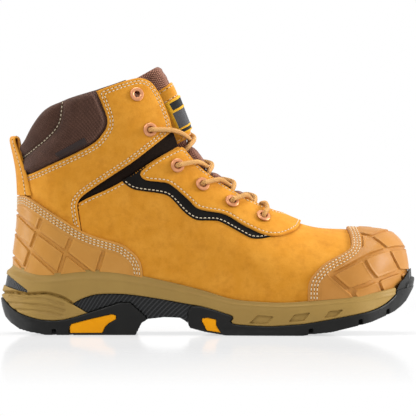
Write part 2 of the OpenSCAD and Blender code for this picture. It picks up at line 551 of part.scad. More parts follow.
// Grooves of the tread in plan: bars across the sole in a herringbone, and two channels along it
module tread_bars(low_x, high_x, lean)
    for (x = [low_x:BAR_PITCH:high_x], side = [LATERAL, MEDIAL])
        translate([x, side * 30]) rotate(side * lean) square([BAR_WIDTH, 62], center = true);
module tread_channels(low_x, high_x)
    for (side = [LATERAL, MEDIAL])
        translate([(low_x + high_x) / 2, side * 17])
            square([high_x - low_x + 30, CHANNEL_WIDTH], center = true);
// A plan cut upwards to a depth over the sole's base line
module cut_up(base, depth) intersection() {
    translate([0, 0, -5]) linear_extrude(40) children();
    side_view(joined([[for (p = base) p + [0, depth]],
        [[base[len(base) - 1][0] + 5, -5], [base[0][0] - 5, -5]]]));
}
module tread(low_x, high_x, lean, base) {
    cut_up(base, tread_depth) tread_bars(low_x, high_x, lean);
    cut_up(base, tread_depth - CHANNEL_RISE) tread_channels(low_x, high_x);
}

module outsole_heel() color("#22211f") trimmed() difference() {
    intersection() {
        sole_form();
        sole_view(joined([curve(LOBE_EDGE), HEEL_BREAST, HEEL_BACK]));
    }
    tread(-140, -60, BAR_LEAN, HEEL_BASE);
    insert_pocket(HEEL_INSERT);
}

module outsole_forefoot() color("#22211f") trimmed() difference() {
    union() {
        intersection() {
            sole_form();
            sole_view(joined([curve(POD_EDGE), [[143, 37], [157, 37]], reversed(FOREFOOT_BASE),
                [[-12, 22]]]));
        }
        intersection() {
            translate([0, 0, -BUMPER_DROP]) even_layer(3, 6.6);
            side_view(BUMPER);
        }
    }
    tread(4, 140, -BAR_LEAN, [for (i = [2:len(FOREFOOT_BASE) - 4]) FOREFOOT_BASE[i]]);
    insert_pocket(BALL_INSERT);
}

module midsole() color("#ad9159") trimmed() difference() {
    intersection() {
        sole_form();
        sole_view(joined([curve(LOBE_EDGE), LOBE_FRONT, curve(ARCH_EDGE), curve(POD_EDGE),
            [[143, 60], [-170, 60]]]));
    }
    difference() {
        side_view(ACCENT);
        sole_form(ACCENT_DEPTH + 0.3);
    }
    for (w = WINDOWS) difference() {
        side_view(w);
        sole_form(WINDOW_DEPTH);
    }
}

module arch_shank() color("#2e2f31") trimmed() intersection() {
    sole_form(SHANK_DEPTH);
    sole_view(joined([LOBE_FRONT, curve(ARCH_EDGE), [[-12, 22]], SHANK_BASE]));
}

module heel_accent() color("#26272a") trimmed() intersection() {
    sole_wall(ACCENT_DEPTH);
    sole_view(ACCENT, POCKET_GAP);
}

module insert_pocket(outline) difference() {
    side_view(outline);
    sole_form(INSERT_DEPTH + POCKET_GAP);
}
module insert(outline, side) color("#e8a40a") trimmed() intersection() {
    sole_wall(INSERT_DEPTH);
    sole_view(outline, POCKET_GAP);
    translate([-200, side == LATERAL ? -REACH : 0, -10]) cube([400, REACH, 100]);
}
module heel_insert_lateral() insert(HEEL_INSERT, LATERAL);
module heel_insert_medial() insert(HEEL_INSERT, MEDIAL);
module ball_insert_lateral() insert(BALL_INSERT, LATERAL);
module ball_insert_medial() insert(BALL_INSERT, MEDIAL);

PLATE_LOW = 0.1;
BOARD_LOW = PLATE_LOW + plate_thickness + LAYER_GAP;
BOARD_THICKNESS = 2;
FOOTBED_LOW = BOARD_LOW + BOARD_THICKNESS + LAYER_GAP;
module protective_plate() color("#a9adb0") trimmed() bed(7, PLATE_LOW, BOARD_LOW - LAYER_GAP);
module insole_board() color("#cbbd9c") trimmed() bed(5.3, BOARD_LOW, BOARD_LOW + BOARD_THICKNESS);
module footbed() color("#3b4148") trimmed() bed(7.6, FOOTBED_LOW, FOOTBED_LOW + footbed_thickness);

// ---------------------------------------------------------------- eyelets

// How far out from the last the leather under each eyelet lies, and how deep the lining is there
function eyelet_level(k) = k < LOWER_EYELETS[0] ? QUARTER_LEVEL : EYESTAY_LEVEL;
function eyelet_depth(k) = lining_inside([EYELETS[k][0], 0, EYELETS[k][1]]) - 0.3;
module eyelet(k) rotate_extrude($fn = 48) {
    barrel = eyelet_bore + 0.5;
    low = eyelet_depth(k);
    seat = eyelet_level(k) + 0.5;
    polygon([[eyelet_bore, low], [barrel, low], [barrel, seat], [eyelet_flange, seat],
        [eyelet_flange, seat + 0.5], [eyelet_flange - 0.7, seat + 1.1],
        [barrel + 0.1, seat + 1.1], [eyelet_bore, seat + 0.8]]);
}
module eyelets(side) color("#c98d63") for (k = [0:5]) eyelet_place(k, side) eyelet(k);
module eyelets_lateral() eyelets(LATERAL);
module eyelets_medial() eyelets(MEDIAL);

// ---------------------------------------------------------------- lace

LACE_RADIUS = lace_diameter / 2;
LACE_LIFT = 2.9;  // from the leather to the middle of the lace where it enters an eyelet
CROSSINGS = [0, 109, 87, 66, 46, 41];  // where the strands cross the ridge below each row
function eyelet_along(k) = (EYELETS[k][1] - EYELETS[k][0]) / sqrt(2);
function eyelet_across(k) =
    let (gap = profile(RIDGE, eyelet_along(k)) - (EYELETS[k][0] + EYELETS[k][1]) / sqrt(2))
    sqrt(gap / profile(THROAT_DEPTH, eyelet_along(k)));
// Point over or under the front: across is 0 on the ridge and 1 at the facing's edge
function lace_point(along, across, side, away) =
    let (q = profile(RIDGE, along) - profile(THROAT_DEPTH, along) * across ^ 2)
    above((q - along) / sqrt(2), (q + along) / sqrt(2), side, away);
function ridge_over(along, away) =
    let (p = ridge_point(along), t = unit(ridge_point(along + 0.5) - ridge_point(along - 0.5)))
    [p[0] + away * t[1], profile(CENTRE, p[0]), p[1] - away * t[0]];
function in_eyelet(k, side, away) = above(EYELETS[k][0], EYELETS[k][1], side, away);
// From outside, down through an eyelet
function through_eyelet(k, side) =
    [in_eyelet(k, side, eyelet_level(k) + LACE_LIFT), in_eyelet(k, side, eyelet_depth(k) - 2.6)];
// From inside the eyelet of row k + 1 on one side, over the tongue, to the top of row k on the other
function crossing(k, side, height) =
    let (a = CROSSINGS[k], low = eyelet_along(k + 1), high = eyelet_along(k),
         far = eyelet_across(k), lie = eyelet_level(k) + 3)
    [lace_point(mix(low, a, 0.7), 1.1, side, -7), lace_point(a - 2.5, 0.78, side, -4.8),
     lace_point(a - 1.5, 0.52, side, 2.7), ridge_over(a, height),
     lace_point(mix(a, high, 0.2), far * 0.33, -side, max(5.2, lie)),
     lace_point(mix(a, high, 0.6), far * 0.72, -side, lie + 0.4),
     lace_point(mix(a, high, 0.92), far * 0.95, -side, lie + 1)];
// How high over the ridge the lower and the upper strand lie where two of them cross
UNDER = 2.4;
OVER = 6.2;
function half_lace(side, heights) = joined([
    [ridge_over(CROSSINGS[5], 3.4), lace_point(36.5, 1, side, 6.3), lace_point(33.8, 1.6, side, 6.9)],
    through_eyelet(5, side),
    crossing(4, side, heights[0]), through_eyelet(4, -side),
    crossing(3, -side, heights[1]), through_eyelet(3, side),
    crossing(2, side, heights[2]), through_eyelet(2, -side),
    crossing(1, -side, heights[3]), [in_eyelet(1, side, eyelet_level(1) + LACE_LIFT)],
    [tail_route(side)[0]]]);
// The two ends hang inside the shaft: points of the inner side's route
TAIL = [[-47, 25.8, 154.5], [-49, 21.6, 153], [-50.7, 18.5, 149.5], [-51.5, 17.3, 145], [-52, 17.3, 137],
    [-52, 17.3, 129], [-52, 17.3, 121], [-52, 17.3, 113], [-52, 17.3, 105], [-52, 17.3, 97],
    [-52, 17.3, 89]];
TIP_LENGTH = 20;
function tail_route(side) = let (c = profile(CENTRE, EYELETS[1][0]))
    [for (p = TAIL) [p[0], c + side * (p[1] - c), p[2]]];
LATERAL_HALF = half_lace(LATERAL, [OVER, UNDER, OVER, UNDER]);
MEDIAL_HALF = half_lace(MEDIAL, [UNDER, OVER, UNDER, OVER]);
LACE_ROUTE = joined([reversed(LATERAL_HALF), [for (i = [1:len(MEDIAL_HALF) - 1]) MEDIAL_HALF[i]]]);

// A round tube swept along a route, keeping its sides from twisting
function tube_frames(route, i = 0, side = [0, 0, 1]) =
    let (t = unit(after(route, i) - before(route, i)), flat = side - (side * t) * t,
         s = norm(flat) > 0.05 ? unit(flat) : unit(cross(t, [0.3, 1, 0.2])))
    i == len(route) - 1 ? [[s, cross(t, s)]] : concat([[s, cross(t, s)]], tube_frames(route, i + 1, s));
module tube(route, radius, sides = 8) {
    frames = tube_frames(route);
    n = len(route);
    points = [for (i = [0:n - 1]) for (k = [0:sides - 1])
        route[i] + radius * (cos(360 * k / sides) * frames[i][0] + sin(360 * k / sides) * frames[i][1])];
    faces = [
        for (i = [0:n - 2]) for (k = [0:sides - 1])
            let (a = i * sides + k, b = i * sides + (k + 1) % sides)
            each [[a, a + sides, b + sides], [a, b + sides, b]],
        [for (k = [0:sides - 1]) k], [for (k = [sides - 1:-1:0]) (n - 1) * sides + k]
    ];
    polyhedron(points = points, faces = faces);
}
module lace() color("#c9995c") tube(LACE_ROUTE, LACE_RADIUS);
module lace_tail_lateral() color("#c9995c") tube(tail_route(LATERAL), LACE_RADIUS);
module lace_tail_medial() color("#c9995c") tube(tail_route(MEDIAL), LACE_RADIUS);
module lace_tip(side) color("#b98a4c")
    translate(tail_route(side)[len(TAIL) - 1] - [0, 0, TIP_LENGTH])
        cylinder(r = LACE_RADIUS - 0.3, h = TIP_LENGTH, $fn = 24);
module lace_tip_lateral() lace_tip(LATERAL);
module lace_tip_medial() lace_tip(MEDIAL);

sized() outsole_heel();
sized() outsole_forefoot();
sized() arch_shank();
sized() midsole();
sized() heel_accent();
sized() heel_insert_lateral();
sized() heel_insert_medial();
sized() ball_insert_lateral();
sized() ball_insert_medial();
sized() protective_plate();
sized() insole_board();
sized() footbed();
sized() steel_toe_cap();
sized() heel_counter();
sized() lining();
sized() vamp();
sized() toe_scuff_cap();
sized() heel_guard();
sized() ankle_quarter_lateral();
sized() ankle_quarter_medial();
sized() flex_panel_lateral();
sized() flex_panel_medial();
sized() wave_trim_lateral();
sized() wave_trim_medial();
sized() eyestay();
sized() collar();
sized() pull_loop();
sized() side_label();
sized() tongue_pad();
sized() tongue_overlay();
sized() tongue_badge();
sized() eyelets_lateral();
sized() eyelets_medial();
sized() gusset_lateral();
sized() gusset_medial();
sized() lace();
sized() lace_tail_lateral();
sized() lace_tail_medial();
sized() lace_tip_lateral();
sized() lace_tip_medial();
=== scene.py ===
import math

import bpy
import numpy as np
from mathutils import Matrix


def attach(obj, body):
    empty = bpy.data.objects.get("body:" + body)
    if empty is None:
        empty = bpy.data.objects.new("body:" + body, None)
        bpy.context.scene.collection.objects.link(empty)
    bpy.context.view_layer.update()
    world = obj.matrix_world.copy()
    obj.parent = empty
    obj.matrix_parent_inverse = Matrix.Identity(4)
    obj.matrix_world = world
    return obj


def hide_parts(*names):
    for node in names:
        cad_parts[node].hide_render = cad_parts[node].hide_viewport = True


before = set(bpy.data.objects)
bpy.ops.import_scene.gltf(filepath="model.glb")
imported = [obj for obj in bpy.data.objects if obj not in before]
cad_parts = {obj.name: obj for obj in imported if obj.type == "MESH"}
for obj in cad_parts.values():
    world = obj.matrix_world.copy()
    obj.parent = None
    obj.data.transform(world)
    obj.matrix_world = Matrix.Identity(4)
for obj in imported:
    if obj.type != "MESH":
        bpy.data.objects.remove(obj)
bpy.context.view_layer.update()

# Looks of the safety boot. Lengths are in millimetres, in the CAD frame, until a mesh is made.
MM = 0.001
LATERAL, MEDIAL = -1, 1
SIDES = {"lateral": LATERAL, "medial": MEDIAL}
BODY, TONGUE, FOOTBED = "boot", "tongue", "footbed"

# ---------------------------------------------------------------- the last: the CAD design's own profiles

FEATHER = [[-148, 53], [-139, 47.5], [-127, 44], [-93, 46.5], [-72, 46], [-48, 42], [-2, 32],
           [18, 26.5], [38, 24.5], [60, 24], [86, 26], [116, 29], [150, 37]]
RIDGE = [[-79, 131.5], [-72, 141], [-66, 146], [-58, 150.5], [-50, 152], [-42, 150], [-33, 143.5],
         [-18, 130], [-3, 116.5], [8, 109.5], [24, 103], [52, 96], [82, 91.5], [98, 92], [108, 94],
         [128, 103], [153, 113.5], [168, 117.5]]
BACK = [[50, -146], [64, -145.5], [75, -144], [87, -143], [105, -142.5], [120, -142.5], [142, -144]]
TOP = [[-144, 142], [-139.5, 147], [-134.5, 157], [-126, 168.5], [-111, 176.5], [-84, 185.5],
       [-57, 194.5], [-36.5, 201.5]]
FOOT_WIDTH = [[-146, 33], [-115, 35.5], [-80, 34.5], [-40, 35], [-5, 39], [35, 47], [70, 51.5],
              [105, 51], [140, 48]]
SHAFT_WIDTH = [[60, 35], [90, 34], [115, 33.5], [140, 37], [170, 39], [200, 38]]
CENTRE = [[-146, 1.6], [-60, 0.1], [0, -1.9], [50, -2.4], [95, 0.6], [150, 8.1]]
RIDGE_START, RIDGE_END = -78.8, 168
HEEL_LOW, HEEL_TOP = 53, 142
FRONT_ROUNDING, BACK_ROUNDING = 55, 42
FRONT_CURVE, BACK_CURVE = 2.15, 2.1
SKIN_SCALE = (320, 130)  # about how long the last's surface is round the boot and up it
WALL_SCALE = (340, 50)   # the same of the sole's side
WALL_HEIGHT = 45         # about how high that side is, for the rounding of its top
ROOT2 = math.sqrt(2)


def profile(points, x):
    """Smooth height of a curve through points at x, straight beyond its ends."""
    points = np.asarray(points, float)
    xs, ys = points[:, 0], points[:, 1]
    x = np.asarray(x, float)
    i = np.clip(np.searchsorted(xs, x) - 1, 0, len(xs) - 2)
    slope = np.diff(ys) / np.diff(xs)
    knot = np.concatenate([[slope[0]], (slope[:-1] + slope[1:]) / 2, [slope[-1]]])
    h = xs[i + 1] - xs[i]
    t = (x - xs[i]) / h
    c = np.clip(t, 0, 1)
    inner = ((2 * c**3 - 3 * c**2 + 1) * ys[i] + (c**3 - 2 * c**2 + c) * h * knot[i]
             + (3 * c**2 - 2 * c**3) * ys[i + 1] + (c**3 - c**2) * h * knot[i + 1])
    return inner + np.where(t < 0, t * h * knot[0], 0) + np.where(t > 1, (t - 1) * h * knot[-1], 0)


def ramp(low, high, x):
    t = np.clip((np.asarray(x, float) - low) / (high - low), 0, 1)
    return t * t * (3 - 2 * t)


def swell(t, n):
    c = np.clip(t, 0, 1)
    return (1 - (1 - c) ** n) ** (1 / n)


def mix(a, b, t):
    return a + (b - a) * t


def unit(v):
    return v / np.maximum(np.linalg.norm(v, axis=-1, keepdims=True), 1e-9)


def curve(points, steps=8):
    """Smooth path through points, with steps pieces between two of them."""
    p = np.asarray(points, float)
    p = np.concatenate([[2 * p[0] - p[1]], p, [2 * p[-1] - p[-2]]])
    t = np.arange(steps)[:, None] / steps
    out = [0.5 * (2 * b + (c - a) * t + (2 * a - 5 * b + 4 * c - d) * t**2
                  + (3 * b - a - 3 * c + d) * t**3)
           for a, b, c, d in zip(p[:-3], p[1:-2], p[2:-1], p[3:])]
    return np.concatenate(out + [p[-2:-1]])


def lengths(points):
    """How far along its path each point lies."""
    return np.concatenate([[0], np.cumsum(np.linalg.norm(np.diff(points, axis=0), axis=1))])


def resampled(points, step):
    """The same path with its points step apart."""
    points = np.asarray(points, float)
    length = lengths(points)
    count = max(int(round(length[-1] / step)), 1)
    at = np.linspace(0, length[-1], count + 1)
    return np.stack([np.interp(at, length, points[:, k]) for k in range(points.shape[1])], 1)


def ridge_point(p):
    q = profile(RIDGE, p)
    return np.stack([(q - p) / ROOT2, (q + p) / ROOT2], -1)


def ridge_gap(x, z):
    p = (z - x) / ROOT2
    s = profile(RIDGE, p + 0.5) - profile(RIDGE, p - 0.5)
    return (profile(RIDGE, p) - (x + z) / ROOT2) / np.sqrt(1 + s * s)


def half_width(x, z):
    foot, shaft = profile(FOOT_WIDTH, x), profile(SHAFT_WIDTH, z)
    return (mix(foot, shaft, ramp(50, 130, z)) * swell(ridge_gap(x, z) / FRONT_ROUNDING, FRONT_CURVE)
            * swell((x - profile(BACK, z)) / BACK_ROUNDING, BACK_CURVE))


BACK_LOW = np.array([profile(BACK, HEEL_LOW), HEEL_LOW])
BACK_TOP = np.array([profile(BACK, HEEL_TOP), HEEL_TOP])
TOE_TIP = ridge_point(RIDGE_START)
FRONT_TOP = ridge_point(RIDGE_END)


def side_place(along, up):
    """Side-view place: along goes from the heel to the front, up from the sole to the top line."""
    bx, tx = mix(BACK_LOW[0], TOE_TIP[0], along), mix(BACK_TOP[0], FRONT_TOP[0], along)
    z = mix(HEEL_LOW, HEEL_TOP, up)
    low_fit, top_fit = (mix(a[1] - profile(edge, a[0]), b[1] - profile(edge, b[0]), along)
                        for a, b, edge in ((BACK_LOW, TOE_TIP, FEATHER), (BACK_TOP, FRONT_TOP, TOP)))
    low = np.stack([bx, profile(FEATHER, bx) + low_fit], -1)
    high = np.stack([tx, profile(TOP, tx) + top_fit], -1)
    back = np.stack([profile(BACK, z), z], -1)
    front = ridge_point(mix(RIDGE_START, RIDGE_END, up))
    along, up = along[..., None], up[..., None]
    return (mix(low, high, up) + mix(back, front, along)
            - mix(mix(BACK_LOW, TOE_TIP, along), mix(BACK_TOP, FRONT_TOP, along), up))


def skin(turn, up):
    """Round the boot: turn 0 is the heel and 1 the toe on the outer side, -1 or more than 1 on the inner."""
    turn, up = np.broadcast_arrays(np.asarray(turn, float), np.asarray(up, float))
    turn = np.where(turn > 1, turn - 2, turn)
    p = side_place((1 - np.cos(np.pi * turn)) / 2, up)
    return on_skin(p[..., 0], p[..., 1], np.where(turn < 0, MEDIAL, LATERAL))


def turns_on(side, low, high):
    """A span of turns given for the outer side, on the side that is asked for."""
    return (low, high) if side == LATERAL else (-high, -low)


def on_skin(x, z, side):
    return np.stack([x, profile(CENTRE, x) + side * half_width(x, z), z], -1)


# ---------------------------------------------------------------- patches of a surface

SLOPE_STEP = 0.003  # share of a surface's own measures, used for its slopes


def normals(surface, u, v):
    h = SLOPE_STEP
    return unit(np.cross(surface(u + h, v) - surface(u - h, v), surface(u, v + h) - surface(u, v - h)))


class Patch:
    """Places (u, v) on a surface with the faces between them, and named values at each vertex."""

    def __init__(self, surface, us, vs):
        u, v = np.meshgrid(us, vs, indexing="ij")
        k = np.arange(u.size).reshape(u.shape)
        self.surface = surface
        self.uv = np.stack([u.ravel(), v.ravel()], 1)
        self.quads = np.stack([k[:-1, :-1], k[1:, :-1], k[1:, 1:], k[:-1, 1:]], -1).reshape(-1, 4)
        self.cut_faces = []
        self.values = {}

    def points(self):
        return self.surface(self.uv[:, 0], self.uv[:, 1])

    def crossed(self, name, level):
        values = self.values[name]
        values[np.abs(values - level) < 1e-6] = level + 1e-6
        return values > level

    def cut(self, name, level=0.0, drop=False):
        """Cuts the faces where a value passes level, and can drop the lower side."""
        values, high = self.values[name], self.crossed(name, level)
        flags = high[self.quads]
        mixed = flags.any(1) & ~flags.all(1)
        whole = flags.all(1) if drop else ~mixed
        todo = [tuple(f) for f in self.quads[mixed].tolist()]
        self.quads = self.quads[whole]
        kept = []
        for face in self.cut_faces:
            state = {bool(high[a]) for a in face}
            if len(state) == 2:
                todo.append(face)
            elif True in state or not drop:
                kept.append(face)
        made, ends, shares = {}, [], []

        def between(a, b):
            key = (a, b) if a < b else (b, a)
            if key not in made:
                made[key] = len(self.uv) + len(ends)
                ends.append(key)
                shares.append((level - values[key[0]]) / (values[key[1]] - values[key[0]]))
            return made[key]

        for face in todo:
            upper, lower = [], []
            for a, b in zip(face, face[1:] + face[:1]):
                (upper if high[a] else lower).append(a)
                if high[a] != high[b]:
                    upper.append(between(a, b))
                    lower.append(upper[-1])
            kept += [tuple(upper)] if drop else [tuple(upper), tuple(lower)]
        if ends:
            a, b = np.array(ends).T
            t = np.array(shares)
            self.uv = np.concatenate([self.uv, mix(self.uv[a], self.uv[b], t[:, None])])
            for key, old in self.values.items():
                self.values[key] = np.concatenate([old, mix(old[a], old[b], t)])
            self.values[name][-len(ends):] = level
        self.cut_faces = kept

    def cut_at(self, name, *levels):
        for level in levels:
            self.cut(name, level)

    def lines(self, name, level):
        """Chains of [u, v, outer distance] along each line on which a value equals level."""
        values, high = self.values[name], self.crossed(name, level)
        flags = high[self.quads]
        faces = self.quads[flags.any(1) & ~flags.all(1)].tolist() + [list(f) for f in self.cut_faces]
        links = {}
        for face in faces:
            ends = [tuple(sorted((a, b))) for a, b in zip(face, face[1:] + face[:1]) if high[a] != high[b]]
            for one, other in zip(ends[::2], ends[1::2]):
                links.setdefault(one, []).append(other)
                links.setdefault(other, []).append(one)
        left = dict.fromkeys(sorted(links, key=lambda key: len(links[key])))
        data = np.concatenate([self.uv, self.values["outer"][:, None]], 1)
        out = []
        while left:
            chain = [next(iter(left))]
            while chain[-1] in left:
                del left[chain[-1]]
                chain += [other for other in links[chain[-1]] if other in left][:1]
            a, b = np.array(chain).T
            t = (level - values[a]) / (values[b] - values[a])
            out.append(mix(data[a], data[b], t[:, None]))
        return [line for line in out if len(line) > 2]

    def shell(self, name, outer, inner, uv_scale=None):
        """A closed mesh object between two distances out from the surface."""
        faces = self.quads.tolist() + [list(f) for f in self.cut_faces]
        used = np.unique(np.concatenate([np.array(f) for f in faces]))
        place = np.full(len(self.uv), -1)
        place[used] = np.arange(len(used))
        p, n = self.points()[used], normals(self.surface, *self.uv.T)[used]
        outer = np.broadcast_to(outer, len(self.uv))[used]
        inner = np.broadcast_to(inner, len(self.uv))[used]
        front = [place[f].tolist() for f in map(np.array, faces)]
        count = len(used)
        edges = {(a, b) for f in front for a, b in zip(f, f[1:] + f[:1])}
        rim = [[b, a, a + count, b + count] for a, b in edges if (b, a) not in edges]
        rim.sort()
        back = [[a + count for a in reversed(f)] for f in front]
        points = np.concatenate([p + n * outer[:, None], p + n * inner[:, None]])
        obj = mesh_object(name, points, front + back + rim)
        if uv_scale is not None:
            set_uv(obj, np.tile(self.uv[used] * np.array(uv_scale), (2, 1)))
        return obj


def mesh_object(name, points, faces):
    mesh = bpy.data.meshes.new(name)
    mesh.from_pydata((np.asarray(points) * MM).tolist(), [], faces)
    mesh.validate()
    mesh.shade_smooth()
    mesh.set_sharp_from_angle(angle=math.radians(50))
    obj = bpy.data.objects.new(name, mesh)
    bpy.context.scene.collection.objects.link(obj)
    return obj


def set_uv(obj, places):
    """Gives each vertex its place in millimetres, for patterns that follow the surface."""
    layer = obj.data.uv_layers.new(name="UVMap")
    loops = np.zeros(len(obj.data.loops), np.int32)
    obj.data.loops.foreach_get("vertex_index", loops)
    layer.data.foreach_set("uv", places[loops].astype(np.float32).ravel())


# ---------------------------------------------------------------- distances and relief

def path_distance(points, path):
    """Distance of each point from a path."""
    best = np.full(len(points), 1e9)
    path = np.asarray(path, float)
    for a, b in zip(path[:-1], path[1:]):
        ab = b - a
        t = np.clip((points - a) @ ab / max(ab @ ab, 1e-9), 0, 1)
        best = np.minimum(best, ((points - a - t[:, None] * ab) ** 2).sum(1))
    return np.sqrt(best)


def within(x, z, outline):
    """Whether each side-view place lies inside a closed outline."""
    inside = np.zeros(len(x), bool)
    outline = np.asarray(outline, float)
    for (ax, az), (bx, bz) in zip(outline, np.roll(outline, -1, 0)):
        if az != bz:
            spans = (az > z) != (bz > z)
            inside ^= spans & (x < (bx - ax) * (z - az) / (bz - az) + ax)
    return inside


def skin_distance(points, path, step=2.5):
    """Distance on the upper from a side-view path, taken on both sides of the boot."""
    path = resampled(path, step)
    found = [path_distance(points, on_skin(path[:, 0], path[:, 1], side)) for side in (LATERAL, MEDIAL)]
    return np.minimum(*found)


def signed(points, outline, distance):
    return np.where(within(points[:, 0], points[:, 2], outline), distance, -distance)


def rounded(distance, radius):
    """Rises from 0 at an edge to 1 at radius from it, as a quarter circle."""
    t = np.clip(distance / radius, 0, 1)
    return np.sqrt(1 - (1 - t) ** 2)


def groove(distance, half, slope):
    """1 in a channel, falling to 0 over slope beyond its half width."""
    return 1 - ramp(half, half + slope, distance)


def pressed(distance, width):
    """1 on a line, falling to 0 at width from it."""
    t = np.clip(np.abs(distance) / width, 0, 1)
    return (1 - t * t) ** 2


def unevenness(p):
    """Slow waves of worn leather, between -1 and 1."""
    x, y, z = p[:, 0], p[:, 1], p[:, 2]
    return (np.sin(x / 9 + z / 15 + 1) * np.sin(z / 11 - y / 17) + np.sin(x / 23 - z / 19 + y / 29 + 2)) / 2


# ---------------------------------------------------------------- side-view outlines, as [x, z]

QUARTER_TOP_EDGE = [[-150, 113], [-143, 118], [-131.5, 122.5], [-120, 128], [-97, 139], [-85.5, 145.5],
                    [-79.5, 152], [-76, 158.5], [-76.5, 165.5], [-81.5, 178], [-84, 184]]
QUARTER_FRONT_EDGE = [[-84, 184.3], [-75, 187.6], [-66.7, 190.6], [-58, 193.2], [-52, 194], [-45.5, 192.2],
                      [-40.8, 187.8], [-35.8, 179.5], [-29.5, 164], [-27, 153.5]]
QUARTER_LOW_EDGE = [[-28, 153], [-40, 143.5], [-55.5, 131.5], [-70.5, 121.5], [-85.5, 111.5],
                    [-95, 104.5], [-98.5, 99], [-98, 92], [-96, 80], [-94, 60], [-94, 30]]
FLEX_LOW_EDGE = [[-98, 99.5], [-89.5, 104], [-73, 111.5], [-59, 119.5], [-40, 132], [-22, 142.5]]
THROAT = [[-20.5, 141.5], [-12.5, 131.5], [-6, 124.5], [9.5, 112.5], [28.5, 101], [41, 95],
          [50, 91.2], [56, 89.5]]
EYESTAY_EDGE = [[-21, 141.5], [-36.5, 134], [-49, 125], [-51, 121], [-47, 117], [-36.5, 115.5],
                [-28.5, 113.5], [-15, 102], [-9, 96], [-2, 93.5], [13, 90.5], [28.5, 81.5], [43.5, 75],
                [55, 74.5], [65, 78], [69, 81.5], [72, 90]]
WAVE_EDGE = [[-65, 116.5], [-60.5, 112.5], [-54, 109.5], [-36.5, 107], [-28.5, 104], [-17.5, 92.5],
             [-9, 87], [1.5, 86.5], [9.5, 85.5], [24.5, 77.5], [34, 73], [44.5, 73.5], [50, 75.5]]
GUARD_EDGE = [[-152, 99], [-144, 103.5], [-139, 105.5], [-131.5, 102], [-108.5, 86.5], [-97, 79.5],
              [-85.5, 74.5], [-66.5, 69], [-59, 64.5], [-53, 58.5], [-49.5, 50], [-48.5, 30]]
TOE_CAP_EDGE = [[104, 90], [104.5, 81.5], [107.5, 74], [108, 66], [104, 62], [89, 54], [82.5, 48.5],
                [77.5, 42.5], [75.5, 35], [75.5, 15]]
EYELETS = [[-54, 181.5], [-44, 155], [-24, 127.5], [-5, 112.5], [17.5, 99], [41, 87.5]]


def outline(*parts):
    return np.concatenate([np.asarray(part, float) for part in parts])


def closed(shape):
    return outline(shape, shape[:1])


QUARTER_EDGES = [curve(QUARTER_TOP_EDGE[:-1]), curve(QUARTER_FRONT_EDGE), curve(QUARTER_LOW_EDGE)]
QUARTER = outline(*QUARTER_EDGES, [[-165, 30], [-165, 113]])
VAMP = outline(curve(FLEX_LOW_EDGE), curve(THROAT), [[90, 110], [190, 110], [190, 0],
                                                     [-93.5, 0], [-93.5, 60], [-95.5, 80], [-97.5, 92]])
FLEX = outline(curve(FLEX_LOW_EDGE) + [0, 0.6], [[-22.5, 146], [-27, 158], [-45, 148], [-61, 136],
                                                 [-76, 126], [-88, 118], [-100, 108]])
EYESTAY = outline(curve(EYESTAY_EDGE), [[85, 105]], curve(THROAT)[:0:-1] + 0.3)
WAVE = outline(curve(WAVE_EDGE), [[62, 78.5], [66, 82], [56, 87.5]], curve(THROAT)[::-1] - 0.9, [[-40, 131]])
TOE_CAP = outline(curve(TOE_CAP_EDGE), [[190, 15], [190, 90]])
HEEL_GUARD = outline(curve(GUARD_EDGE), [[-165, 30], [-165, 99]])
COLLAR_SEAM = [[-146, 131.5], [-143, 131.5], [-135, 137], [-127.5, 143], [-120, 149.5], [-114.5, 155.5],
               [-111.5, 161], [-110, 170], [-109.5, 180]]


# ---------------------------------------------------------------- depths inside the upper, as in the CAD design

LEATHER, LAYER_GAP, LINING_WALL, COLLAR_PADDING = 2, 0.2, 1.8, 7


def stiffener_room(p):
    x, z = p[:, 0], p[:, 2]
    return (2 + 2 * LAYER_GAP) * np.maximum(ramp(72, 84, x), (1 - ramp(-84, -70, x)) * (1 - ramp(98, 112, z)))


def lining_outside(p):
    padding = COLLAR_PADDING * ramp(112, 148, p[:, 2]) * ramp(22, 40, ridge_gap(p[:, 0], p[:, 2]))
    return -LEATHER - LAYER_GAP - np.maximum(stiffener_room(p), padding)


def quarter_outside(p):
    return 1.2 - 1.25 * (1 - ramp(0, 7, p[:, 2] - profile(GUARD_EDGE, p[:, 0])))


# ---------------------------------------------------------------- materials

def rgb(red, green, blue):
    """A screen colour as linear light."""
    return (*(c / 255 / 12.92 if c < 10 else ((c / 255 + 0.055) / 1.055) ** 2.4 for c in (red, green, blue)), 1)


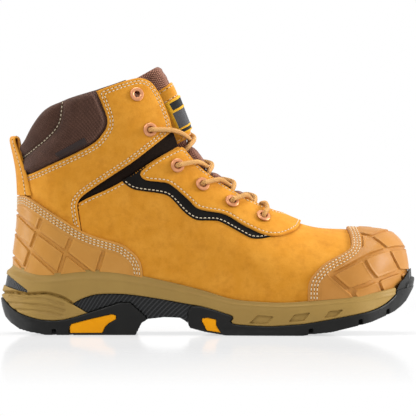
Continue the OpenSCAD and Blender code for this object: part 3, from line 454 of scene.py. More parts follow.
class Looks:
    """A material built from a few procedural layers over one shader."""

    def __init__(self, name, colour, roughness, metallic=0.0, specular=0.5):
        self.material = bpy.data.materials.new(name)
        self.material.use_nodes = True
        self.tree = self.material.node_tree
        self.shader = self.tree.nodes["Principled BSDF"]
        self.shader.inputs["Base Color"].default_value = colour
        self.shader.inputs["Roughness"].default_value = roughness
        self.shader.inputs["Metallic"].default_value = metallic
        self.shader.inputs["Specular IOR Level"].default_value = specular
        self.colour = None
        self.base = colour
        self.normal = None

    def node(self, kind, **values):
        node = self.tree.nodes.new(kind)
        for key, value in values.items():
            if hasattr(node, key):
                setattr(node, key, value)
            else:
                node.inputs[key.replace("_", " ")].default_value = value
        return node

    def link(self, a, b):
        self.tree.links.new(a, b)

    def places(self, uv=False):
        """Object places in millimetres, or the surface's own places."""
        source = self.node("ShaderNodeTexCoord").outputs["UV" if uv else "Object"]
        mapping = self.node("ShaderNodeMapping")
        mapping.inputs["Scale"].default_value = (1 if uv else 1 / MM,) * 3
        self.link(source, mapping.inputs["Vector"])
        return mapping.outputs["Vector"]

    def noise(self, size, detail=3, roughness=0.55):
        noise = self.node("ShaderNodeTexNoise", Scale=1 / size, Detail=detail, Roughness=roughness)
        self.link(self.places(), noise.inputs["Vector"])
        return noise.outputs["Fac"]

    def cells(self, size):
        cells = self.node("ShaderNodeTexVoronoi", feature="SMOOTH_F1", Scale=1 / size)
        self.link(self.places(), cells.inputs["Vector"])
        return cells.outputs["Distance"]

    def waves(self, size, angle, places):
        """Ridges that run across a direction turned by an angle."""
        turned = self.node("ShaderNodeMapping")
        turned.inputs["Rotation"].default_value = (0, 0, angle)
        self.link(places, turned.inputs["Vector"])
        wave = self.node("ShaderNodeTexWave", Scale=math.pi / 10 / size)
        self.link(turned.outputs["Vector"], wave.inputs["Vector"])
        return wave.outputs["Fac"]

    def span(self, value, low, high, start=0.0, end=1.0):
        node = self.node("ShaderNodeMapRange")
        self.link(value, node.inputs["Value"])
        for key, amount in (("From Min", low), ("From Max", high), ("To Min", start), ("To Max", end)):
            node.inputs[key].default_value = amount
        return node.outputs["Result"]

    def maths(self, operation, a, b=None):
        node = self.node("ShaderNodeMath", operation=operation)
        for socket, value in zip(node.inputs, (a, b)):
            if value is None:
                continue
            if isinstance(value, (int, float)):
                socket.default_value = value
            else:
                self.link(value, socket)
        return node.outputs[0]

    def blend(self, amount, colour):
        """Blends another colour over the ones before it."""
        node = self.node("ShaderNodeMix", data_type="RGBA")
        if self.colour is None:
            node.inputs["A"].default_value = self.base
        else:
            self.link(self.colour, node.inputs["A"])
        node.inputs["B"].default_value = colour
        self.link(amount, node.inputs["Factor"])
        self.colour = node.outputs["Result"]
        self.link(self.colour, self.shader.inputs["Base Color"])

    def bump(self, height, depth, strength=1.0):
        """Raises the surface by a height of 0 to 1 times depth in millimetres."""
        node = self.node("ShaderNodeBump", Strength=strength, Distance=depth * MM)
        self.link(height, node.inputs["Height"])
        if self.normal is not None:
            self.link(self.normal, node.inputs["Normal"])
        self.normal = node.outputs["Normal"]
        self.link(self.normal, self.shader.inputs["Normal"])

    def rough(self, value):
        self.link(value, self.shader.inputs["Roughness"])


def leather_look(name, colour, light, dark):
    """Nubuck: mottled, finely napped, with a darker bloom where it is handled."""
    looks = Looks(name, colour, 0.72, specular=0.12)
    looks.blend(looks.span(looks.noise(13, 5, 0.6), 0.40, 0.68, 0, 0.75), light)
    looks.blend(looks.span(looks.noise(7, 4, 0.65), 0.48, 0.80, 0, 0.6), dark)
    looks.blend(looks.span(looks.noise(1.1, 4, 0.7), 0.50, 0.80, 0, 0.35), dark)
    looks.bump(looks.cells(0.9), 0.10, 0.6)
    looks.bump(looks.noise(0.45, 3, 0.7), 0.07, 0.7)
    looks.bump(looks.noise(6, 3), 0.5, 0.5)
    looks.shader.inputs["Sheen Weight"].default_value = 0.05
    looks.shader.inputs["Sheen Roughness"].default_value = 0.5
    return looks.material


def rubber_look(name, colour, light, roughness=0.62, grain=0.5, shine=0.35):
    looks = Looks(name, colour, roughness, specular=shine)
    looks.blend(looks.span(looks.noise(16, 4), 0.42, 0.75, 0, 0.5), light)
    looks.bump(looks.noise(grain, 3, 0.7), 0.07, 0.8)
    looks.rough(looks.span(looks.noise(9, 3), 0.3, 0.7, roughness - 0.08, roughness + 0.08))
    return looks.material


def weave_look(name, dark, light, size, roughness=0.8, glint=0.3):
    """A twill of two threads."""
    looks = Looks(name, dark, roughness, specular=glint)
    places = looks.places(True)
    over = looks.waves(size, math.radians(45), places)
    under = looks.waves(size, math.radians(-45), places)
    threads = looks.maths("MULTIPLY", over, under)
    looks.blend(looks.span(threads, 0.15, 0.75), light)
    looks.blend(looks.span(looks.noise(9, 4), 0.5, 0.85, 0, 0.45), dark)
    looks.bump(threads, 0.25, 0.8)
    looks.bump(looks.noise(0.5, 3, 0.7), 0.08, 0.6)
    return looks.material


def mesh_look(name, dark, light, size, uv=True):
    """Spacer fabric: rows of small open cells in a soft yarn."""
    looks = Looks(name, light, 0.92, specular=0.05)
    places = looks.places(uv)
    knit = looks.maths("MULTIPLY", looks.waves(size, 0.95, places), looks.waves(size, -0.55, places))
    looks.blend(looks.span(knit, 0.55, 0.1), dark)
    looks.blend(looks.span(looks.noise(11, 4), 0.45, 0.8, 0, 0.4), dark)
    looks.bump(knit, 0.35, 0.9)
    looks.bump(looks.noise(0.4, 3, 0.7), 0.08, 0.7)
    looks.shader.inputs["Sheen Weight"].default_value = 0.12
    return looks.material


def carbon_look(name, dark, light):
    """Moulded rubber with a fine woven grain."""
    looks = Looks(name, dark, 0.36, specular=0.22)
    places = looks.places(True)
    over = looks.waves(2.3, math.radians(28), places)
    under = looks.waves(2.3, math.radians(-62), places)
    weave = looks.maths("MAXIMUM", over, looks.maths("MULTIPLY", under, 0.7))
    looks.blend(looks.span(weave, 0.6, 0.98), light)
    looks.bump(weave, 0.35, 0.8)
    return looks.material


def metal_look(name, colour, roughness):
    looks = Looks(name, colour, roughness, metallic=0.85)
    looks.bump(looks.noise(1.4, 3), 0.02, 0.6)
    looks.rough(looks.span(looks.noise(4, 4), 0.3, 0.7, roughness - 0.06, roughness + 0.1))
    return looks.material


def braid_look(name, colour, dark):
    """A flat braid: slanting yarns that cross."""
    looks = Looks(name, colour, 0.85, specular=0.2)
    places = looks.places(True)
    over = looks.waves(0.85, math.radians(38), places)
    under = looks.waves(0.85, math.radians(-38), places)
    yarns = looks.maths("MAXIMUM", over, under)
    looks.blend(looks.span(yarns, 0.72, 0.35), dark)
    looks.blend(looks.span(looks.noise(6, 4), 0.45, 0.8, 0, 0.4), dark)
    looks.bump(yarns, 0.3, 0.8)
    looks.bump(looks.noise(0.3, 2, 0.7), 0.06, 0.6)
    return looks.material


def thread_look(name, colour, dark):
    looks = Looks(name, colour, 0.75, specular=0.25)
    looks.blend(looks.span(looks.noise(0.5, 3), 0.45, 0.75, 0, 0.5), dark)
    looks.bump(looks.noise(0.25, 2, 0.7), 0.05, 0.7)
    return looks.material


def plain_look(name, colour):
    return Looks(name, colour, 0.9, specular=0.1).material


MATERIALS = {name: look(name, *values) for name, look, *values in (
    ("nubuck", leather_look, rgb(206, 138, 38), rgb(218, 152, 54), rgb(180, 112, 24)),
    ("toe_rubber", rubber_look, rgb(176, 120, 54), rgb(190, 135, 69), 0.42, 0.9, 0.2),
    ("guard_tan", rubber_look, rgb(186, 130, 56), rgb(200, 146, 72), 0.38, 0.9, 0.25),
    ("flex_fabric", weave_look, rgb(20, 14, 11), rgb(50, 36, 28), 0.7, 0.8, 0.06),
    ("black_trim", rubber_look, rgb(18, 16, 15), rgb(32, 29, 26), 0.6, 0.7, 0.08),
    ("collar_mesh", mesh_look, rgb(44, 28, 22), rgb(136, 98, 82), 1.05),
    ("tongue_mesh", mesh_look, rgb(100, 66, 54), rgb(200, 146, 122), 1.1),
    ("lining_mesh", weave_look, rgb(34, 28, 27), rgb(74, 62, 58), 0.8),
    ("label_fabric", weave_look, rgb(40, 29, 27), rgb(68, 50, 45), 0.5, 0.7),
    ("badge_field", weave_look, rgb(66, 66, 68), rgb(104, 104, 106), 0.6, 0.7),
    ("badge_dark", weave_look, rgb(20, 20, 20), rgb(48, 46, 44), 0.6, 0.7),
    ("badge_border", weave_look, rgb(226, 166, 18), rgb(246, 196, 48), 0.6, 0.6),
    ("black_rubber", rubber_look, rgb(15, 15, 14), rgb(27, 26, 24), 0.42, 0.6, 0.2),
    ("olive_foam", rubber_look, rgb(152, 122, 64), rgb(162, 132, 70), 0.55, 0.7, 0.2),
    ("carbon_grey", carbon_look, rgb(8, 9, 10), rgb(52, 53, 54)),
    ("yellow_insert", rubber_look, rgb(232, 152, 0), rgb(240, 166, 4), 0.42, 0.9, 0.12),
    ("plate_steel", metal_look, rgb(168, 172, 175), 0.35),
    ("toecap_steel", metal_look, rgb(150, 154, 158), 0.32),
    ("copper", metal_look, rgb(198, 138, 98), 0.42),
    ("board", rubber_look, rgb(206, 190, 158), rgb(220, 206, 176), 0.85, 1.2),
    ("counter_board", rubber_look, rgb(222, 214, 198), rgb(232, 226, 214), 0.8, 1.0),
    ("footbed_foam", mesh_look, rgb(36, 40, 46), rgb(76, 82, 90), 1.3, False),
    ("lace_cord", braid_look, rgb(226, 174, 108), rgb(156, 106, 54)),
    ("lace_tip", rubber_look, rgb(188, 140, 78), rgb(206, 160, 98), 0.3, 1.0),
    ("thread", thread_look, rgb(218, 204, 176), rgb(168, 150, 120)),
    # Painted shade: a dark brown for the flat discs that stand in for the shadow inside each needle hole
    ("needle_hole", plain_look, rgb(52, 32, 14)),
)}


# ---------------------------------------------------------------- pieces, holes and stitches

def piece(obj, body, slot, material, *replaced):
    obj.data.materials.append(MATERIALS[material])
    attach(obj, body)
    if replaced:
        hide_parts(*replaced)
    return obj


def more_materials(obj, index, *materials):
    """Adds materials, and gives each face the one that its index says."""
    for material in materials:
        obj.data.materials.append(MATERIALS[material])
    obj.data.polygons.foreach_set("material_index", index)


def skin_patch(low_turn, high_turn, low_up, high_up, spacing=1.3):
    """A grid on the last, with its points about spacing apart."""
    columns = int((high_turn - low_turn) * SKIN_SCALE[0] / spacing)
    rows = int((high_up - low_up) * SKIN_SCALE[1] / spacing * 1.2)
    return Patch(skin, np.linspace(low_turn, high_turn, columns + 1), np.linspace(low_up, high_up, rows + 1))


def surface_out(x, z, side, e=0.4):
    a = on_skin(x + e, z, side) - on_skin(x - e, z, side)
    b = on_skin(x, z + e, side) - on_skin(x, z - e, side)
    return -side * unit(np.cross(a, b))


def eyelet_distance(p):
    """Distance of each point from the nearest eyelet's axis."""
    best = np.full(len(p), 1e9)
    for x, z in EYELETS:
        for side in (LATERAL, MEDIAL):
            away = p - on_skin(x, z, side)
            out = surface_out(x, z, side)
            near = np.abs(away @ out) < 20
            best = np.minimum(best, np.where(near, np.linalg.norm(np.cross(away, out), axis=1), 1e9))
    return best


EYELET_HOLE = 3.3
STITCH, STITCH_PITCH, THREAD = 2.3, 3.1, 0.38


def stitches(name, surface, lines, body):
    """Threads along lines on a surface, each with a flat dark disc at both ends: painted shade where its needle
    hole would be.
    """
    starts, ends = [], []
    for line in lines:
        p = surface(line[:, 0], line[:, 1])
        at = lengths(p)
        count = int(at[-1] // STITCH_PITCH)
        first = (at[-1] - count * STITCH_PITCH + STITCH_PITCH - STITCH) / 2 + STITCH_PITCH * np.arange(count)
        starts += [np.stack([np.interp(first, at, line[:, k]) for k in range(3)], 1)]
        ends += [np.stack([np.interp(first + STITCH, at, line[:, k]) for k in range(3)], 1)]
    a, b = np.concatenate(starts), np.concatenate(ends)

    def place(q):
        n = normals(surface, q[:, 0], q[:, 1])
        return surface(q[:, 0], q[:, 1]) + n * q[:, 2:3], n

    (pa, na), (pb, nb) = place(a), place(b)
    along, out = unit(pb - pa), unit(na + nb)
    across = np.cross(out, along)
    rings, sides = 7, 6
    t = np.linspace(0, 1, rings)
    rise = 1.5 * THREAD * np.sin(np.pi * t) ** 0.5 - 0.8 * THREAD
    width = THREAD * np.sqrt(np.maximum(1 - np.abs(2 * t - 1) ** 4, 0.05))
    angle = 2 * np.pi * np.arange(sides) / sides
    points = (pa[:, None, None] + (pb - pa)[:, None, None] * t[None, :, None, None]
              + out[:, None, None] * (rise[None, :, None, None]
                                      + (width[:, None] * np.sin(angle))[None, :, :, None] * 0.8)
              + across[:, None, None] * (width[:, None] * np.cos(angle))[None, :, :, None])
    count = len(a)
    faces, size = [], rings * sides
    one = [[r * sides + k, r * sides + (k + 1) % sides, (r + 1) * sides + (k + 1) % sides, (r + 1) * sides + k]
           for r in range(rings - 1) for k in range(sides)]
    one += [list(range(sides))[::-1], list(range(size - sides, size))]
    for k in range(count):
        faces += [[v + k * size for v in f] for f in one]
    # Flat dark discs laid just over the surface at both ends of each stitch: painted shade of the needle holes,
    # which are not cut
    hole_shade_points, base = [], count * size
    corners = np.stack([np.cos(angle), np.sin(angle)], 1) * THREAD * 1.35
    for centre, way in ((pa, -1), (pb, 1)):
        middle = centre + along * way * THREAD * 0.7 + out * 0.03
        hole_shade_points.append((middle[:, None] + across[:, None] * corners[None, :, :1]
                            + along[:, None] * corners[None, :, 1:]).reshape(-1, 3))
    holes = [[base + k * sides + s for s in range(sides)][::-1] for k in range(2 * count)]
    obj = mesh_object(name, np.concatenate([points.reshape(-1, 3)] + hole_shade_points), faces + holes)
    piece(obj, body, "lace_cord", "thread")
    # The discs get the dark painted-shade material, the threads keep theirs
    index = np.zeros(len(obj.data.polygons), np.int32)
    index[len(faces):] = 1
    more_materials(obj, index, "needle_hole")


CHANNEL_LEVELS = (1.15, 1.42, 1.7, 2.1, 2.9)  # distances from a channel's middle at which its sides are drawn


def moulded(values):
    """Tiles with flat channels between them, which begin beyond the stitched band."""
    d, inside = values["channel"], ramp(8.2, 9.4, values["edge"])
    lips, floor = 0.3 * pressed(d - 2.1, 0.8), 1.3 * groove(d, 1.15, 0.55)
    return inside * (lips - floor) - 0.5 * pressed(values["edge"] - 8.3, 0.9)


def cut_out(patch, shape, edge, step=2.5):
    """Keeps what lies within a side-view shape, and how far in from its edge each place lies."""
    p = patch.points()
    patch.values["edge"] = signed(p, shape, skin_distance(p, edge, step))
    patch.cut("edge", 0, drop=True)


def cut_eyelets(patch):
    patch.values["hole"] = eyelet_distance(patch.points()) - EYELET_HOLE
    patch.cut("hole", 0, drop=True)


def upper_piece(node, patch, shape, outer, inner, material, rows=(), row_edge=None,
                row_where=None, edge_round=0.9, holes=False, channels=(), press=0.35):
    """A sheet of the upper: cut to a side-view outline, rounded at its edge, pressed in along its rows of
    stitches, and stitched. outer and inner are distances from the last, as numbers or functions of points."""
    cut_out(patch, shape, shape)
    patch.cut_at("edge", *(share * edge_round for share in (0.12, 0.4, 1.0)))
    if holes:
        cut_eyelets(patch)
    if rows:
        if row_edge is None:
            patch.values["row"] = patch.values["edge"].copy()
        else:
            patch.values["row"] = skin_distance(patch.points(), row_edge)
        if row_where is not None:
            patch.values["row"][~row_where(patch.points())] = 99.0
        for row in rows:
            patch.cut_at("row", row - 0.8, row, row + 0.8)
    if channels:
        p = patch.points()
        patch.values["channel"] = np.min([skin_distance(p, path) for path in channels], axis=0)
        patch.cut_at("channel", *CHANNEL_LEVELS)
    p = patch.points()
    top = outer(p) if callable(outer) else np.full(len(p), float(outer))
    low = inner(p) if callable(inner) else np.full(len(p), float(inner))
    wavy = 0.15 * unevenness(p)
    h = low + (top - low) * (0.35 + 0.65 * rounded(patch.values["edge"], edge_round))
    for row in rows:
        h -= press * pressed(patch.values["row"] - row, 1.0)
    if channels:
        h += moulded(patch.values)
    patch.values["outer"] = h + wavy
    piece(patch.shell(node + "_look", h + wavy, low + wavy, SKIN_SCALE), BODY, material, material, node)
    lines = [line for row in rows for line in patch.lines("row", row)]
    if lines:
        stitches(node + "_look_stitches", patch.surface, lines, BODY)


# ---------------------------------------------------------------- camera, and the two lace ends

# The camera, in metres: how far off it is, how high, what it looks at and how wide its view is there
DISTANCE, ELEVATION = 6.0, math.radians(1.0)
AIM, VIEW_WIDTH, SENSOR = (0.0002, 0.0, 0.0953), 0.3162, 36
camera = bpy.data.objects.new("camera", bpy.data.cameras.new("camera"))
bpy.context.scene.collection.objects.link(camera)
camera.location = (AIM[0], AIM[1] - DISTANCE * math.cos(ELEVATION), AIM[2] + DISTANCE * math.sin(ELEVATION))
camera.rotation_euler = (math.pi / 2 - ELEVATION, 0, 0)
camera.data.sensor_width = SENSOR
camera.data.lens = SENSOR * DISTANCE / VIEW_WIDTH
bpy.context.scene.camera = camera

LACE_RADIUS = 1.8
TAIL = [[-47, 25.8, 154.5], [-49, 21.6, 153], [-50.7, 18.5, 149.5], [-51.5, 17.3, 145], [-52, 17.3, 137],
        [-52, 17.3, 89]]


def tube(name, route, radius, sides=14):
    """A tube along a route, its sides kept from twisting."""
    route = np.asarray(route, float)
    tangents = unit(np.gradient(route, axis=0))
    side, frames = np.array([0.0, 0, 1]), []
    for t in tangents:
        s = side - (side @ t) * t
        side = unit(s) if np.linalg.norm(s) > 0.05 else unit(np.cross(t, [0.3, 1, 0.2]))
        frames.append((side, np.cross(t, side)))
    frames = np.array(frames)
    angle = 2 * np.pi * np.arange(sides) / sides
    ring = radius * (np.cos(angle)[None, :, None] * frames[:, None, 0]
                     + np.sin(angle)[None, :, None] * frames[:, None, 1])
    points = (route[:, None] + ring).reshape(-1, 3)
    n = len(route)
    faces = [[i * sides + k, (i + 1) * sides + k, (i + 1) * sides + m, i * sides + m]
             for i in range(n - 1) for k, m in zip(range(sides), [*range(1, sides), 0])]
    faces += [list(range(sides)), list(range((n - 1) * sides, n * sides))[::-1]]
    obj = mesh_object(name, points, faces)
    set_uv(obj, np.stack([np.repeat(lengths(route), sides), np.tile(angle * radius, n)], 1))
    return obj


def tail_route(side):
    centre = profile(CENTRE, EYELETS[1][0])
    route = resampled(curve(TAIL, 6), 1.5)
    return np.stack([route[:, 0], centre + side * (route[:, 1] - centre), route[:, 2]], 1)


for side_name, side in SIDES.items():
    route = tail_route(side)
    tail = piece(tube("lace_tail_" + side_name + "_look", route, LACE_RADIUS), BODY, "lace_cord", "lace_cord",
                 "lace_tail_" + side_name)


# ---------------------------------------------------------------- upper

def below_flex(p):
    return (p[:, 0] < -58) & (p[:, 2] < 116)


upper_piece("vamp", skin_patch(0.26, 1.74, 0.0, 1.0), VAMP, 0.0, -1.6, "nubuck", rows=(2.2,),
            row_edge=curve(FLEX_LOW_EDGE), row_where=below_flex, holes=True)

for side_name, side in SIDES.items():
    upper_piece("flex_panel_" + side_name, skin_patch(*turns_on(side, 0.24, 0.85), 0.35, 1.0), FLEX, -0.9, -1.7,
                "flex_fabric")
    upper_piece("wave_trim_" + side_name, skin_patch(*turns_on(side, 0.3, 1.0), 0.25, 0.95, 1.1), WAVE, 0.9,
                0.05, "black_trim", rows=(1.7,), row_edge=curve(WAVE_EDGE), edge_round=0.6, holes=True,
                press=0.2)
    upper_piece("ankle_quarter_" + side_name, skin_patch(*turns_on(side, 0.002, 0.86), 0.2, 1.0, 1.15), QUARTER,
                lambda p: quarter_outside(p) + 0.2, lambda p: quarter_outside(p) - 1.7, "nubuck",
                rows=(2.3, 4.3), row_edge=outline(*QUARTER_EDGES),
                row_where=lambda p: p[:, 2] > profile(GUARD_EDGE, p[:, 0]) + 1.5, holes=True)

upper_piece("eyestay", skin_patch(0.45, 1.55, 0.25, 1.0, 1.15), EYESTAY, 2.6, 0.95, "nubuck", rows=(2.1,),
            holes=True)

# Middle lines of the channels between the moulded tiles, in side view
TOE_CHANNELS = [[[93, 45.5], [104, 50], [114, 55], [124, 60], [134, 63.3], [143, 64.5], [152, 64]],
                [[117.5, 55.5], [121, 49], [125.8, 42.8], [128, 39], [131.5, 30.5]],
                [[91.5, 45.8], [98, 40.5], [105, 34.8], [109, 31.5], [111.5, 27]],
                [[106, 34], [117, 37.6], [126, 41.6], [134, 44.4], [144, 47.8], [154, 47]],
                [[136, 62.6], [139.5, 55.5], [143.6, 48], [146, 41]],
                [[122.8, 72.4], [128.5, 68.6], [134.5, 63.6]],
                [[114.6, 74.4], [122.8, 72.4], [132.5, 75.4], [143, 77]],
                [[115.6, 73.5], [115.9, 65.5]], [[116, 80.5], [122, 79]]]
HEEL_CHANNELS = [[[-124.5, 88], [-128.5, 76.5], [-132.8, 64], [-137, 51]],
                 [[-103.4, 73], [-107.5, 62.3], [-112.4, 46]], [[-79, 62.5], [-84.3, 45.8]],
                 [[-143.5, 92], [-135, 84], [-126.5, 76.6], [-107.5, 62.2], [-87, 45.8]],
                 [[-145, 77], [-133, 63.8], [-113, 45.5]], [[-147.5, 62], [-138, 49.5]]]


upper_piece("toe_scuff_cap", skin_patch(0.64, 1.36, 0.0, 0.6, 1.0), TOE_CAP, 2.4, 0.25, "toe_rubber",
            rows=(2.4, 4.6, 6.8), row_edge=curve(TOE_CAP_EDGE), edge_round=1.2, channels=TOE_CHANNELS)
upper_piece("heel_guard", skin_patch(-0.44, 0.44, 0.0, 0.62, 1.0), HEEL_GUARD, 2.5, 0.3, "guard_tan",
            rows=(2.3, 4.2, 6.1), row_edge=curve(GUARD_EDGE), edge_round=1.2, channels=HEEL_CHANNELS)

# ---------------------------------------------------------------- lining, collar, label and pull loop

TOP_PLACES = np.linspace(-144, -36.5, 60)
ALONG_TOP = np.stack([TOP_PLACES, profile(TOP, TOP_PLACES)], 1)
ROLL = 6.0       # radius of the collar's rolled top
FLAP = 21.0      # how far the collar's cover reaches down inside
SEAM_PINCH = 1.5
COLLAR_LOW_EDGE = [[-150, 108], [-131.5, 117.5], [-97, 134], [-74, 146], [-66, 157], [-63, 172], [-62, 215]]
LABEL_EDGE = [[-114.5, 137.5], [-93.2, 149.6], [-90.6, 144.3], [-111.5, 132.8]]
LINING_OPENING = outline([[-44, 215]], curve(QUARTER_FRONT_EDGE), curve(THROAT) - 2.2, [[60, 110], [60, 215]])


def top_distance(p):
    return skin_distance(p, ALONG_TOP, 2.0)


def lining():
    patch = skin_patch(-1, 1, 0.0, 1.0, 1.8)
    p = patch.points()
    patch.values["open"] = -signed(p, LINING_OPENING, skin_distance(p, LINING_OPENING, 3))
    patch.values["top"] = top_distance(p) - mix(FLAP, 1.5, ramp(-62, -52, p[:, 0]))
    patch.cut("open", 0, drop=True)
    patch.cut("top", 0, drop=True)
    cut_eyelets(patch)
    p = patch.points()
    piece(patch.shell("lining_look", lining_outside(p), lining_outside(p) - LINING_WALL, SKIN_SCALE),
          BODY, "lining_mesh", "lining_mesh", "lining")


def collar_height(p, seam):
    """How far out the collar's face lies: under the quarters it is thin, above them it is padded."""
    shown = ramp(0, 4.5, -signed(p, QUARTER, skin_distance(p, curve(QUARTER_TOP_EDGE))))
    puff = 2.6 * ramp(0, 9, seam) * shown
    return -0.95 + 1.75 * shown + puff * (1 - 0.25 * ramp(-130, -142, p[:, 0]))


def collar():
    patch = skin_patch(-0.82, 0.82, 0.5, 1.0, 1.2)
    p = patch.points()
    bottom = outline([[-165, 113]], curve(COLLAR_LOW_EDGE), [[-165, 215]])
    patch.values["top"] = top_distance(p)
    patch.values["seam"] = skin_distance(p, curve(COLLAR_SEAM), 2)
    cut_out(patch, bottom, bottom)
    patch.cut_at("top", 0.06, 0.3, 0.8, 1.6, 3.0, 4.5, FLAP, FLAP + 0.8)
    patch.cut_at("seam", 0.5, 1.2, 2.2)
    p, values = patch.points(), patch.values
    pinch = SEAM_PINCH * pressed(values["seam"], 2.4)
    height = collar_height(p, values["seam"]) - pinch + 0.25 * unevenness(p)
    flap = 1 - ramp(FLAP, FLAP + 0.8, values["top"])
    low = np.minimum(mix(lining_outside(p) + 0.25, lining_outside(p) - LINING_WALL - 0.9, flap), height - 0.8)
    middle, curl = (height + low) / 2, rounded(values["top"], ROLL)
    outer, inner = middle + (height - middle) * curl, middle + (low - middle) * curl
    values["outer"] = outer
    obj = piece(patch.shell("collar_look", outer, inner, SKIN_SCALE), BODY, "collar_mesh", "collar_mesh",
                "collar")
    # A long line goes down one side of the seam and comes back on the other, and only one side is sewn
    stitches("collar_stitches", skin, [line[: len(line) // 2] if len(line) > 60 else line
                                       for line in patch.lines("seam", 0.5)], BODY)


def label():
    patch = skin_patch(0.12, 0.5, 0.7, 1.0, 0.7)
    cut_out(patch, LABEL_EDGE, closed(LABEL_EDGE), 1)
    patch.cut("edge", 0.5)
    p = patch.points()
    base = collar_height(p, skin_distance(p, curve(COLLAR_SEAM), 2)) + 0.25 * unevenness(p)
    patch.values["outer"] = base + 0.35 + 0.35 * rounded(patch.values["edge"], 0.5)
    piece(patch.shell("side_label_look", patch.values["outer"], base + 0.1, SKIN_SCALE), BODY, "label_fabric",
          "label_fabric", "side_label")


# The pull strap's path as [height, distance from the heel, half width]
LOOP_PATH = [[105, 1.8, 23], [112, 2.2, 21.5], [118, 2.5, 20.5], [126, 3.0, 19], [134, 3.9, 17.5],
             [141, 4.9, 16], [146, 5.6, 15], [148.6, 5.2, 14.6], [149.2, 3.6, 14.6], [147.6, 2.2, 14.8],
             [143, 2.0, 15.5], [137, 2.0, 16.5], [131, 1.7, 17.5]]


def loop_surface(across, along):
    """The strap up the back, which folds over at its top; across runs -1 to 1 and along down its path."""
    path = resampled(curve(LOOP_PATH, 6), 0.8)
    at = np.linspace(0, 1, len(path))
    z, away, half = (np.interp(along, at, path[:, k]) for k in range(3))
    y = -across * half
    w = half_width(profile(BACK, z) + BACK_ROUNDING, z)
    t = np.minimum(np.abs(y) / w, 0.95)
    x = profile(BACK, z) + BACK_ROUNDING * (1 - (1 - t**BACK_CURVE) ** (1 / BACK_CURVE))
    out = unit(np.stack([-np.ones_like(y), y / 24, 0 * y], -1))
    return np.stack([x, y + profile(CENTRE, -144), z], -1) + away[..., None] * out


def pull_loop():
    patch = Patch(loop_surface, np.linspace(-1, 1, 37), np.linspace(0.004, 0.996, 100))
    side = 1 - np.abs(patch.uv[:, 0])
    patch.values["edge"] = side * 11
    patch.cut_at("edge", 0.25, 0.8, 1.6, 2.4)
    edge = patch.values["edge"]
    patch.values["outer"] = 0.15 + 0.55 * rounded(edge, 0.8) - 0.2 * pressed(edge - 2.0, 0.9)
    piece(patch.shell("pull_loop_look", patch.values["outer"], -0.45, (22, 60)), BODY, "nubuck", "nubuck",
          "pull_loop")
    stitches("pull_loop_stitches", loop_surface, patch.lines("edge", 2.0), BODY)


lining()
collar()
label()
pull_loop()

# ---------------------------------------------------------------- tongue

THROAT_DEPTH = [[19, 0.8], [24, 1], [32, 2.1], [43, 3.4], [62, 5.4], [92, 7.8], [108, 9], [128, 12.5],
                [166, 12.5]]
TONGUE_DEPTH = [[19, 9], [60, 13], [110, 16], [140, 20], [166, 28], [182, 30]]
TONGUE_BASE, TONGUE_TOP = 19, 170
TONGUE_SCALE = (40, 1)
CROSSINGS = [0, 112, 88, 66, 47, 41]  # where the lace crosses the ridge below each row of eyelets


def front_surface(across, along):
    """The last's front: across is -1 on the outer side and 1 on the inner, along is up the ridge."""
    q = profile(RIDGE, along) - profile(TONGUE_DEPTH, along) * across**2
    x, z = (q - along) / ROOT2, (q + along) / ROOT2
    return np.stack([x, profile(CENTRE, x) + np.sign(across) * half_width(x, z), z], -1)


def tongue_face(p, along):
    gap = np.maximum(profile(RIDGE, along) - (p[:, 0] + p[:, 2]) / ROOT2, 0)
    s = np.sqrt(gap / profile(THROAT_DEPTH, along))
    low = 4.8 * (1 - ramp(27, 44, along)) + (10 - 3 * (1 - ramp(30, 50, along))) * ramp(0.38, 0.8, s)
    pressed_in = np.max([np.exp(-(((along - a) / 4.6) ** 2)) for a in CROSSINGS[1:]], axis=0)
    dents = 4.3 * pressed_in * (1 - ramp(0.5, 1.1, s))
    inside = 4 * ramp(140, 160, along) * ramp(0.5, 1.1, s)
    return -0.2 - low - inside - dents


def front_patch(low, high, width, columns, rows):
    return Patch(front_surface, np.linspace(-width, width, columns + 1), np.linspace(low, high, rows + 1))


def tongue():
    """The padded tongue, with a cover folded over its top, which rises towards its wings."""
    patch = front_patch(TONGUE_BASE + 0.01, TONGUE_TOP + 9, 1.0, 72, 200)
    across, along = patch.uv[:, 0], patch.uv[:, 1]
    patch.values["top"] = TONGUE_TOP + 8.5 * across**2 - along
    patch.values["side"] = (1 - np.abs(across)) * 30
    patch.cut("top", 0, drop=True)
    patch.cut_at("top", 0.05, 0.25, 0.7, 1.4, 2.4, 3.6)
    p, along = patch.points(), patch.uv[:, 1]
    folds = 0.5 * pressed(patch.values["top"] - 9, 5) + 0.4 * pressed(patch.values["top"] - 3.5, 2)
    face = tongue_face(p, along) + folds
    low = face - 2 - 3.5 * ramp(24, 60, along)
    middle = (face + low) / 2
    curl = rounded(patch.values["top"], 3.4) * (0.25 + 0.75 * rounded(patch.values["side"], 2.5))
    obj = piece(patch.shell("tongue_pad_look", middle + (face - middle) * curl, middle + (low - middle) * curl,
                            TONGUE_SCALE), TONGUE, "collar_mesh", "tongue_mesh", "tongue_pad")


def sewn_patch(low, high, width, corner, *levels):
    """A grid on the tongue with its distance from the edges of a flat, rounded piece."""
    patch = front_patch(low, high, width, 60, 100)
    along = patch.uv[:, 1]
    reach = np.linspace(0, width, 60)
    row = front_surface(reach, np.full(60, (low + high) / 2))
    arc = lengths(row)
    u = arc[-1] - np.interp(np.abs(patch.uv[:, 0]), reach, arc)
    v = np.minimum(along - low, high - along)
    out = np.hypot(np.maximum(corner - u, 0), np.maximum(corner - v, 0))
    patch.values["edge"] = np.minimum(np.minimum(u, v), corner - out)
    patch.values["along"] = along.copy()
    patch.cut("edge", 0.02, drop=True)
    patch.cut_at("edge", *levels)
    return patch


# The overlay's ends up the ridge, and how far in from its edge and from its top its rows are sewn
OVERLAY_LOW, OVERLAY_HIGH, EDGE_ROW, CROSS_ROW = 115, 155, 1.9, 9.5


